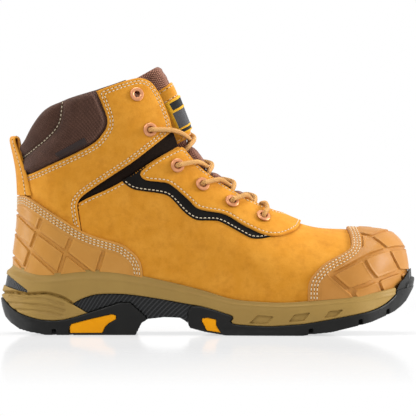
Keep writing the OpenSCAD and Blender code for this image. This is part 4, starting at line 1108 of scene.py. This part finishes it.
def tongue_overlay():
    patch = sewn_patch(OVERLAY_LOW, OVERLAY_HIGH, 0.78, 3.0, 0.15, 0.5, 1.0, 1.2, EDGE_ROW, 2.6)
    patch.values["row"] = OVERLAY_HIGH - patch.values["along"]
    patch.cut_at("row", CROSS_ROW - 0.7, CROSS_ROW, CROSS_ROW + 0.7)
    p, edge = patch.points(), patch.values["edge"]
    base = tongue_face(p, patch.uv[:, 1]) + 0.15
    dents = pressed(edge - EDGE_ROW, 0.9) + pressed(patch.values["row"] - CROSS_ROW, 0.9)
    patch.values["outer"] = base + 1.9 * (0.3 + 0.7 * rounded(edge, 0.9)) - 0.3 * dents
    piece(patch.shell("tongue_overlay_look", patch.values["outer"], base, TONGUE_SCALE), TONGUE, "nubuck",
          "nubuck", "tongue_overlay")
    inside = [line[1:-1] for line in patch.lines("row", CROSS_ROW)]
    stitches("tongue_overlay_stitches", front_surface, patch.lines("edge", EDGE_ROW) + inside, TONGUE)


# Fields of the badge from its foot to its top, as [start, end, inset from its edge]
BADGE_LOW, BADGE_HIGH = 119.5, 144.5
BADGE_FIELDS = [[120.9, 123.1, 1.0], [124.3, 136.0, 0.7], [137.6, 143.1, 1.4]]


def tongue_badge():
    """A woven badge with plain fields in a raised border."""
    patch = sewn_patch(BADGE_LOW, BADGE_HIGH, 0.53, 1.6, 0.15, 0.45, 0.7, 1.0, 1.4)
    for start, end, _ in BADGE_FIELDS:
        patch.cut_at("along", start, end)
    p, edge, along = patch.points(), patch.values["edge"], patch.values["along"]
    field = np.max([ramp(0, 0.3, np.minimum(np.minimum(along - start, end - along), edge - inset))
                    for start, end, inset in BADGE_FIELDS], axis=0)
    base = tongue_face(p, along) + 2.1
    h = 1.3 * (0.3 + 0.7 * rounded(edge, 0.7)) - 0.4 * field
    obj = piece(patch.shell("tongue_badge_look", base + h, base, TONGUE_SCALE), TONGUE, "badge",
                "badge_border", "tongue_badge")
    faces = [np.array(f) for f in patch.quads.tolist() + patch.cut_faces]
    index = np.zeros(len(obj.data.polygons), np.int32)
    for k, face in enumerate(faces):
        at, depth = along[face].mean(), edge[face].mean()
        for n, (start, end, inset) in enumerate(BADGE_FIELDS):
            if start < at < end and depth > inset:
                index[k] = 1 + (n == 1)
    more_materials(obj, index, "badge_dark", "badge_field")


tongue()
tongue_overlay()
tongue_badge()

# ---------------------------------------------------------------- lace

UNDER, OVER = -2.4, 1.2  # heights over the ridge where two strands cross, on the pressed tongue


def eyelet_level(k):
    return 1.2 if k < 2 else 3.2


def eyelet_depth(k):
    x, z = EYELETS[k]
    return float(lining_outside(np.array([[x, 0.0, z]]))[0]) - LINING_WALL - 0.3


def above(x, z, side, away):
    return on_skin(x, z, side) + away * surface_out(x, z, side)


def eyelet_along(k):
    return (EYELETS[k][1] - EYELETS[k][0]) / ROOT2


def eyelet_across(k):
    along = eyelet_along(k)
    return math.sqrt((profile(RIDGE, along) - sum(EYELETS[k]) / ROOT2) / profile(THROAT_DEPTH, along))


def lace_point(along, across, side, away):
    q = profile(RIDGE, along) - profile(THROAT_DEPTH, along) * across**2
    return above((q - along) / ROOT2, (q + along) / ROOT2, side, away)


def ridge_over(along, away):
    p, t = ridge_point(along), unit(ridge_point(along + 0.5) - ridge_point(along - 0.5))
    return np.array([p[0] + away * t[1], profile(CENTRE, p[0]), p[1] - away * t[0]])


def in_eyelet(k, side, away):
    return above(EYELETS[k][0], EYELETS[k][1], side, away)


def through_eyelet(k, side):
    return [in_eyelet(k, side, eyelet_level(k) + 2.6), in_eyelet(k, side, eyelet_depth(k) - 2.6)]


def crossing(k, side, height):
    """From inside the eyelet of row k + 1, over the tongue, to the top of row k on the other side."""
    a, low, high = CROSSINGS[k], eyelet_along(k + 1), eyelet_along(k)
    far, lie = eyelet_across(k), eyelet_level(k) + 2.1
    return [lace_point(mix(low, a, 0.7), 1.1, side, -7), lace_point(a - 2.5, 0.78, side, -5.4),
            lace_point(a - 1.5, 0.5, side, min(height, 0) - 1.0), ridge_over(a, height),
            lace_point(mix(a, high, 0.15), far * 0.28, -side, height + 1.5),
            lace_point(mix(a, high, 0.55), far * 0.68, -side, lie + 0.3),
            lace_point(mix(a, high, 0.9), far * 0.93, -side, lie + 0.7)]


def half_lace(side, heights):
    route = [ridge_over(CROSSINGS[5], 0.2), lace_point(37.5, 1, side, 5.2), lace_point(33.8, 1.6, side, 6.2)]
    route += through_eyelet(5, side)
    for k, height in zip((4, 3, 2, 1), heights):
        route += crossing(k, side, height)
        side = -side
        route += through_eyelet(k, side) if k > 1 else [in_eyelet(k, side, eyelet_level(k) + 2.6)]
    return route + [tail_route(side)[0]]


lace_route = (half_lace(LATERAL, [OVER, UNDER, OVER, UNDER])[::-1]
              + half_lace(MEDIAL, [UNDER, OVER, UNDER, OVER])[1:])
lace_path = resampled(curve(np.array(lace_route), 8), 0.9)
piece(tube("lace_look", lace_path, LACE_RADIUS, 16), BODY, "lace_cord", "lace_cord", "lace")

# ---------------------------------------------------------------- footbed

SOLE_GAP = 0.45
FOOTBED_INSET, FOOTBED_LIFT = 7.9, 3.7 + 2.4  # in from the last's edge, and over the sole: board and plate


def plan(turn):
    p = skin(turn, 0)
    h = 0.004
    d = skin(turn + h, 0)[..., :2] - skin(turn - h, 0)[..., :2]
    return p[..., :2], unit(np.stack([d[..., 1], -d[..., 0]], -1))


def footbed():
    """A moulded footbed: dished at the heel, domed under the arch, with rounded edges and a cloth face."""
    turns, shares = np.linspace(0, 1, 150), np.linspace(-1, 1, 60)
    rows = []
    for turn in turns:
        ends = []
        for sign in (1, -1):
            p, out = plan(np.array(sign * turn))
            room = stiffener_room(np.array([[p[0], 0, 60.0]]))[0]
            ends.append(p - out * (FOOTBED_INSET + room))
        rows.append([mix(ends[1], ends[0], (1 - s) / 2) for s in shares])
    grid = np.array(rows)
    x, s = grid[..., 0], np.abs(shares)[None, :]
    to_end = (np.abs(turns - 0.5) * 2)[:, None]
    edge = np.sqrt(np.maximum(1 - s**8, 0)) * np.sqrt(np.maximum(1 - to_end**14, 0))
    dish = 2.2 * s**3 * (1 - ramp(-60, 20, x)) + 0.8 * s**3
    arch = 3.0 * ramp(-0.1, 0.9, -shares)[None, :] * ramp(-90, -40, x) * (1 - ramp(0, 60, x))
    middle = profile(FEATHER, x) + FOOTBED_LIFT
    top, low = middle + (2.6 + dish + arch * 0.6) * edge, middle - 2.3 * edge
    n, m = x.shape
    points = np.concatenate([np.dstack([grid, z]).reshape(-1, 3) for z in (top, low)])
    k = np.arange(n * m).reshape(n, m)
    quads = np.stack([k[:-1, :-1], k[:-1, 1:], k[1:, 1:], k[1:, :-1]], -1).reshape(-1, 4)
    rim = np.concatenate([k[0, :], k[1:, -1], k[-1, -2::-1], k[-2:0:-1, 0]])
    rim_faces = [[a, a + n * m, b + n * m, b] for a, b in zip(rim, np.roll(rim, -1))]
    faces = quads[:, ::-1].tolist() + (quads + n * m).tolist() + rim_faces
    obj = piece(mesh_object("footbed_look", points, faces), FOOTBED, "footbed_foam", "footbed_foam", "footbed")


footbed()

# ---------------------------------------------------------------- sole: everything on its wall

HEEL_MARGIN = [[0, 3], [0.17, 5], [0.27, 7.5], [0.4, 9.5], [0.6, 10.5], [0.75, 8.5], [0.93, 6], [1, 2.5]]
SIDE_MARGIN = [[0, 2.5], [0.2, 4.5], [0.4, 5], [0.7, 5], [0.9, 4], [1, 2.5]]
TOE_MARGIN = [[0, 2], [0.45, 3], [0.7, 4.5], [0.86, 6], [1, 7]]


def margin(x, t):
    heel, toe = 1 - ramp(-146, -112, x), ramp(112, 146, x)
    low = (heel * profile(HEEL_MARGIN, np.minimum(t, 1)) + toe * profile(TOE_MARGIN, np.minimum(t, 1))
           + (1 - heel - toe) * profile(SIDE_MARGIN, np.minimum(t, 1)))
    return low - 4 * np.maximum(t - 1, 0)


def wall(turn, t):
    """The sole's side, round the boot; t is 0 on the ground and 1 at the upper."""
    turn, t = np.broadcast_arrays(turn, t)
    p, out = plan(turn)
    place = p + out * margin(p[..., 0], t)[..., None]
    return np.concatenate([place, (t * (profile(FEATHER, p[..., 0]) - SOLE_GAP))[..., None]], -1)


def flat_distance(p, path):
    return path_distance(p[:, [0, 2]], path)


class WallPatch(Patch):
    """A grid on the wall, with distances measured in side view and put right for how it faces the side."""

    def __init__(self, low_turn, high_turn, low, high, spacing=1.0):
        columns = int((high_turn - low_turn) * WALL_SCALE[0] / spacing)
        rows = int((high - low) * WALL_SCALE[1] / spacing * 1.3)
        super().__init__(wall, np.linspace(low_turn, high_turn, columns + 1), np.linspace(low, high, rows + 1))
        self.shape = (columns + 1, rows + 1)

    def measured(self, distance):
        """A side-view distance as a distance along the surface; a cut grid keeps it as it is."""
        if len(self.uv) > self.shape[0] * self.shape[1]:
            return distance
        p, d = self.points().reshape(self.shape + (3,)), distance.reshape(self.shape)
        pu, pv = np.gradient(p, axis=0), np.gradient(p, axis=1)
        du, dv = np.gradient(np.abs(d), axis=0), np.gradient(np.abs(d), axis=1)
        e, f, g = (pu * pu).sum(-1), (pu * pv).sum(-1), (pv * pv).sum(-1)
        square = (g * du * du - 2 * f * du * dv + e * dv * dv) / np.maximum(e * g - f * f, 1e-9)
        return (d / np.clip(np.sqrt(np.maximum(square, 0)), 0.3, 1)).ravel()

    def region(self, name, shape):
        p = self.points()
        self.values[name] = self.measured(signed(p, shape, flat_distance(p, closed(shape))))

    def paths(self, name, paths):
        p = self.points()
        self.values[name] = self.measured(np.min([flat_distance(p, path) for path in paths], axis=0))


LOBE_EDGE = [[-160, 26], [-156.5, 27.5], [-150.5, 21.5], [-142.5, 16], [-127.5, 11.5], [-112.5, 11],
             [-101.5, 13.2], [-91, 16.5]]
ARCH_EDGE = [[-102.5, 23.4], [-96.5, 26.8], [-90.5, 29.2], [-82, 31], [-63, 31], [-36.5, 27.5], [-6, 22]]
LOBE_FRONT = [[-97, 20.2]]
POD_EDGE = [[-6, 22], [5.5, 19], [13, 16.5], [17.5, 15], [19, 13], [17.5, 10.5], [20.5, 8.5], [32, 7.5],
            [47.5, 7], [62.5, 8], [77.5, 9.5], [108, 15], [123.5, 18.5], [134.5, 23.5], [141.5, 29.5],
            [143, 33.5]]
HEEL_BACK = [[-82, -1], [-120, -1], [-127, 0.8], [-135, 2], [-142.5, 4], [-149, 8.5], [-153.5, 13.5],
             [-155.5, 20], [-160, 26]]
HEEL_BREAST = [[-91, 16.5], [-66.5, 24.5], [-59, 24.5], [-50, 16.5], [-45.5, 12], [-50, 9], [-55, -1]]
FOREFOOT_BASE = [[-15, 17.5], [-15, 9], [-13.5, 5.5], [-2, 2.5], [11, 0.4], [18, -1], [68, -1], [77.5, 1],
                 [93, 2.5], [112, 7], [123.5, 10], [134.5, 14.5], [141, 17.5], [146, 21], [150, 25],
                 [153.5, 31], [157, 37]]
SHANK_BASE = [[-15, 17.5], [-15, 9], [-17.5, 11], [-21, 13], [-32.5, 13.5], [-45.5, 12], [-50, 16.5],
              [-59, 24.5], [-66.5, 24.5], [-91, 16.5]]
HEEL_BASE = [[-160, 9], [-149, 7], [-142.5, 3.5], [-135, 1.5], [-120, 0], [-40, 0]]
ACCENT = [[-158, 46], [-152, 45], [-142.5, 38], [-136.5, 33.5], [-136.5, 32], [-142.5, 33], [-154.4, 36.6],
          [-158, 37.4]]
HEEL_INSERT = [[-104.5, 6], [-103, 8.5], [-89.5, 12], [-72, 16], [-69, 14.5], [-69, 12], [-74.5, 9],
               [-77.5, 6], [-79.5, 1.5], [-104, 1.5]]
BALL_INSERT = [[-4, 13], [-0.5, 13.5], [6.5, 12], [6.5, 7.5], [10, 2], [-1, 3.5], [-2.5, 7], [-4.5, 10.5]]
WINDOWS = [[[31.5, 9.5], [37.5, 15.5], [49.5, 14.5], [44.5, 9]],
           [[61, 10.5], [65, 16], [77, 17.5], [72.5, 11.5]],
           [[87.5, 13.5], [91.5, 18.5], [102, 19.7], [97, 14.7]]]
BUMPER = [[136, 25], [143, 33.6], [146, 39.5], [149, 42], [153, 48], [154.5, 49.5], [165, 49.5], [165, 25]]
LOBE_GROOVES = [[[-150.5, 29], [-139, 27.5], [-123.5, 27], [-108.5, 23]],
                [[-152, 23.5], [-135, 23], [-120, 21.5], [-108, 18.5]],
                [[-146.5, 18.7], [-131, 18], [-118, 16.5], [-110, 14.5]]]
SEAM_GROOVE = [[-160, 30.5], [-150, 32], [-136, 31], [-122, 31.5], [-110, 28.5], [-102.5, 24]]

MIDSOLE = outline(curve(LOBE_EDGE), LOBE_FRONT, curve(ARCH_EDGE), curve(POD_EDGE), [[143, 60], [-170, 60]])
HEEL_RUBBER = outline(curve(LOBE_EDGE), HEEL_BREAST, HEEL_BACK)
FOREFOOT_RUBBER = outline(curve(POD_EDGE), [[143, 60], [160, 60]], FOREFOOT_BASE[::-1], [[-12, 22]])
SHANK = outline(LOBE_FRONT, curve(ARCH_EDGE), [[-12, 22]], SHANK_BASE)
TREAD_DEPTH, BAR_HALF, BAR_LEAN, BAR_MIDDLE = 4.5, 1.6, 18, 30


def tread_gap(p, bars, lean, base):
    """Below zero inside the grooves that some of the tread's bars leave in the wall."""
    base = np.asarray(base, float)
    side = np.where(p[:, 1] > 0, 1, -1)
    angle = np.radians(side * lean)
    best = np.full(len(p), 1e9)
    for x in bars:
        off = (p[:, 0] - x) * np.cos(angle) + (p[:, 1] - side * BAR_MIDDLE) * np.sin(angle)
        best = np.minimum(best, np.abs(off))
    height = p[:, 2] - np.interp(p[:, 0], base[:, 0], base[:, 1]) - TREAD_DEPTH
    return np.maximum(best - BAR_HALF, height)


def wall_piece(name, patch, region, outer, inner, material, *replaced, edge_round=1.0, gap=None, holes=(),
               relief=None, top_round=0.0):
    """A piece of the sole's side: its region in side view, rounded at its edges, with holes and relief."""
    values, hole_names = patch.values, [f"hole{k}" for k in range(len(holes))]
    patch.region("edge", region)
    for field, hole in zip(hole_names, holes):
        patch.region(field, hole)
        values[field] = -values[field]
    if gap is not None:
        values["gap"] = gap(patch.points())
    patch.cut("edge", 0, drop=True)
    patch.cut_at("edge", *(share * edge_round for share in (0.1, 0.35, 0.9)))
    for field in hole_names:
        patch.cut(field, 0, drop=True)
        patch.cut_at(field, 0.15, 0.5, 1.0)
    if gap is not None:
        patch.cut("gap", 0, drop=True)
        patch.cut("gap", 0.25)
    if top_round:
        values["top"] = (patch.uv[:, 1].max() - patch.uv[:, 1]) * WALL_HEIGHT
        patch.cut_at("top", 0.1, 0.3, 0.8, 1.6)
    curl = rounded(values["edge"], edge_round)
    for field in hole_names:
        curl = np.minimum(curl, 0.35 + 0.65 * rounded(values[field], 1.0))
    if gap is not None:
        curl = np.minimum(curl, 0.6 + 0.4 * rounded(values["gap"], 0.5))
    h = np.full(len(patch.uv), float(outer))
    if relief is not None:
        h += relief(values)
    if top_round:
        h -= 1.2 * (1 - rounded(values["top"], top_round))
    values["outer"] = h - min(1.3, outer - inner) * (1 - curl)
    piece(patch.shell(name, values["outer"], inner, WALL_SCALE), BODY, material, material, *replaced)


# How deep the midsole's windows, accent, seam and fine grooves are, and how far the rib at its top stands out
WINDOW_DEPTH, ACCENT_DEPTH, SEAM_DEPTH, FINE_DEPTH, RIB_HEIGHT = 1.5, 3.0, 3.4, 1.2, 0.5
RIB_DROP = 6.5  # from the midsole's top down to the rib


def midsole_relief(values):
    sunk = sum(WINDOW_DEPTH * ramp(-0.25, 0.25, values[f"window{k}"]) for k in range(len(WINDOWS)))
    return (-sunk - ACCENT_DEPTH * ramp(-0.2, 0.2, values["accent"])
            - SEAM_DEPTH * pressed(values["seam"], 1.6) - FINE_DEPTH * pressed(values["fine"], 1.7)
            + RIB_HEIGHT * pressed(values["top_line"], 1.6))


MIDSOLE_TOP = 1.07
midsole = WallPatch(-0.935, 0.935, 0.1, MIDSOLE_TOP, 1.05)
for k, window in enumerate(WINDOWS):
    midsole.region(f"window{k}", window)
midsole.region("accent", ACCENT)
midsole.paths("seam", [curve(SEAM_GROOVE)])
midsole.paths("fine", [curve(path) for path in LOBE_GROOVES])
midsole.values["top_line"] = (MIDSOLE_TOP - midsole.uv[:, 1]) * WALL_HEIGHT - RIB_DROP
for k in range(len(WINDOWS)):
    midsole.cut_at(f"window{k}", -0.25, 0.25)
midsole.cut_at("accent", -0.2, 0.2)
midsole.cut_at("seam", 0.6, 1.1, 1.6)
midsole.cut_at("fine", 0.75, 1.2, 1.7)

wall_piece("midsole_look", midsole, MIDSOLE, 0.0, -7.5, "olive_foam", "midsole", edge_round=1.1,
           relief=midsole_relief, top_round=2.0)
wall_piece("outsole_heel_side", WallPatch(-0.43, 0.43, 0.0, 0.66, 0.95), HEEL_RUBBER, 0.8, -0.9, "black_rubber",
           edge_round=1.2, holes=[HEEL_INSERT], gap=lambda p: tread_gap(p, (-114, -101), BAR_LEAN, HEEL_BASE))
wall_piece("outsole_forefoot_side", WallPatch(0.44, 1.56, 0.0, 1.0, 0.95), FOREFOOT_RUBBER, 0.8, -0.9,
           "black_rubber", edge_round=1.2, holes=[BALL_INSERT],
           gap=lambda p: tread_gap(p, (69, 108, 134), -BAR_LEAN, FOREFOOT_BASE[2:-3]))


for side_name, side in SIDES.items():
    wall_piece(f"arch_shank_{side_name}_side", WallPatch(*turns_on(side, 0.2, 0.62), 0.0, 1.0, 1.1), SHANK,
               -2.0, -3.4, "carbon_grey", edge_round=0.8)
wall_piece("heel_accent_look", WallPatch(-0.3, 0.3, 0.5, 1.0, 0.9), ACCENT, -0.9, -4.0, "carbon_grey",
           "heel_accent", edge_round=0.6)
for side_name, side in SIDES.items():
    for insert, turns, high, shape in (("heel_insert_", (0.15, 0.42), 0.6, HEEL_INSERT),
                                       ("ball_insert_", (0.42, 0.62), 0.8, BALL_INSERT)):
        node = insert + side_name
        wall_piece(node + "_look", WallPatch(*turns_on(side, *turns), 0.0, high, 0.8), shape, 0.35, -5.0,
                   "yellow_insert", node, edge_round=0.9)


def bumper():
    patch = skin_patch(0.72, 1.28, 0.0, 0.35, 0.9)
    cut_out(patch, BUMPER, BUMPER[:-2], 1.0)
    patch.cut_at("edge", 0.15, 0.6, 1.4)
    patch.values["outer"] = 6.2 + 1.4 * rounded(patch.values["edge"], 1.6)
    piece(patch.shell("toe_bumper_look", patch.values["outer"], 5.0, SKIN_SCALE), BODY, "black_rubber",
          "black_rubber")


bumper()

# ---------------------------------------------------------------- the CAD pieces that are shown as they are

CARRIED = {
    "outsole_heel": "black_rubber", "outsole_forefoot": "black_rubber", "arch_shank": "carbon_grey",
    "protective_plate": "plate_steel", "insole_board": "board", "steel_toe_cap": "toecap_steel",
    "heel_counter": "counter_board", "gusset_lateral": "lining_mesh", "gusset_medial": "lining_mesh",
    "eyelets_lateral": "copper", "eyelets_medial": "copper", "lace_tip_lateral": "lace_tip",
    "lace_tip_medial": "lace_tip",
}
for name, material in CARRIED.items():
    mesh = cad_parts[name].data
    mesh.materials.clear()
    mesh.materials.append(MATERIALS[material])

# ---------------------------------------------------------------- floor, world and lights

FLOOR_RADIUS = 1.6
GLOW, MIRROR_SHARE, LIT_SHARE = 0.98, 0.3, 0.14
SKY_FOR_DIFFUSE = 0.42
floor = mesh_object("floor", [[1000 * FLOOR_RADIUS * math.cos(a), 1000 * FLOOR_RADIUS * math.sin(a), -0.05]
                              for a in np.linspace(0, 2 * math.pi, 96, endpoint=False)], [list(range(96))])
# Mostly its own pale light, with a share of mirror and a share of lit surface; it fades out into the distance
look = Looks("floor", (1, 1, 1, 1), 1.0, specular=0.0)
tree, output = look.tree, look.tree.nodes["Material Output"]
mirror = look.node("ShaderNodeBsdfGlossy", Roughness=0.06)
glow = look.node("ShaderNodeEmission", Strength=GLOW)
clear = look.node("ShaderNodeBsdfTransparent")
shares = [look.node("ShaderNodeMixShader") for _ in range(3)]
for mixer, first, second, share in ((shares[0], glow, mirror, MIRROR_SHARE),
                                    (shares[1], shares[0], look.shader, LIT_SHARE),
                                    (shares[2], clear, shares[1], None)):
    look.link(first.outputs[0], mixer.inputs[1])
    look.link(second.outputs[0], mixer.inputs[2])
    if share is not None:
        mixer.inputs[0].default_value = share
radius = look.node("ShaderNodeVectorMath", operation="LENGTH")
look.link(look.node("ShaderNodeTexCoord").outputs["Object"], radius.inputs[0])
look.link(look.span(radius.outputs["Value"], 0.3, 1.0, 1.0, 0.0), shares[2].inputs[0])
look.link(shares[2].outputs[0], output.inputs["Surface"])
floor.data.materials.append(look.material)

world = bpy.data.worlds.new("world")
bpy.context.scene.world = world
world.use_nodes = True
sky = world.node_tree.nodes["Background"]
sky.inputs["Color"].default_value = (1, 1, 1, 1)
paths = world.node_tree.nodes.new("ShaderNodeLightPath")
# The sky is weaker for diffuse light, so that folds stay dark
soft = world.node_tree.nodes.new("ShaderNodeMapRange")
soft.inputs["To Min"].default_value, soft.inputs["To Max"].default_value = 1.0, SKY_FOR_DIFFUSE
world.node_tree.links.new(paths.outputs["Is Diffuse Ray"], soft.inputs["Value"])
world.node_tree.links.new(soft.outputs["Result"], sky.inputs["Strength"])


for name, place, target, size, power in (
        ("key", (-0.6, -1.0, 1.3), (0, 0, 0.12), (0.6, 0.6), 10),
        ("back_left", (-1.3, 0.15, 0.5), (-0.1, 0, 0.1), (0.4, 0.9), 9),
        ("back_right", (1.4, -0.1, 0.6), (0.1, 0, 0.06), (0.4, 0.9), 24),
        ("top", (0.0, 0.3, 1.5), (0, 0, 0.1), (1.0, 0.6), 12)):
    light = bpy.data.lights.new(name, "AREA")
    light.shape, light.size, light.size_y, light.energy = "RECTANGLE", size[0], size[1], power
    obj = bpy.data.objects.new(name, light)
    bpy.context.scene.collection.objects.link(obj)
    obj.location = place
    away = np.array(place) - np.array(target)
    obj.rotation_euler = (math.atan2(math.hypot(away[0], away[1]), away[2]), 0,
                          math.atan2(away[1], away[0]) + math.pi / 2)
bpy.context.scene.view_settings.view_transform = "Standard"
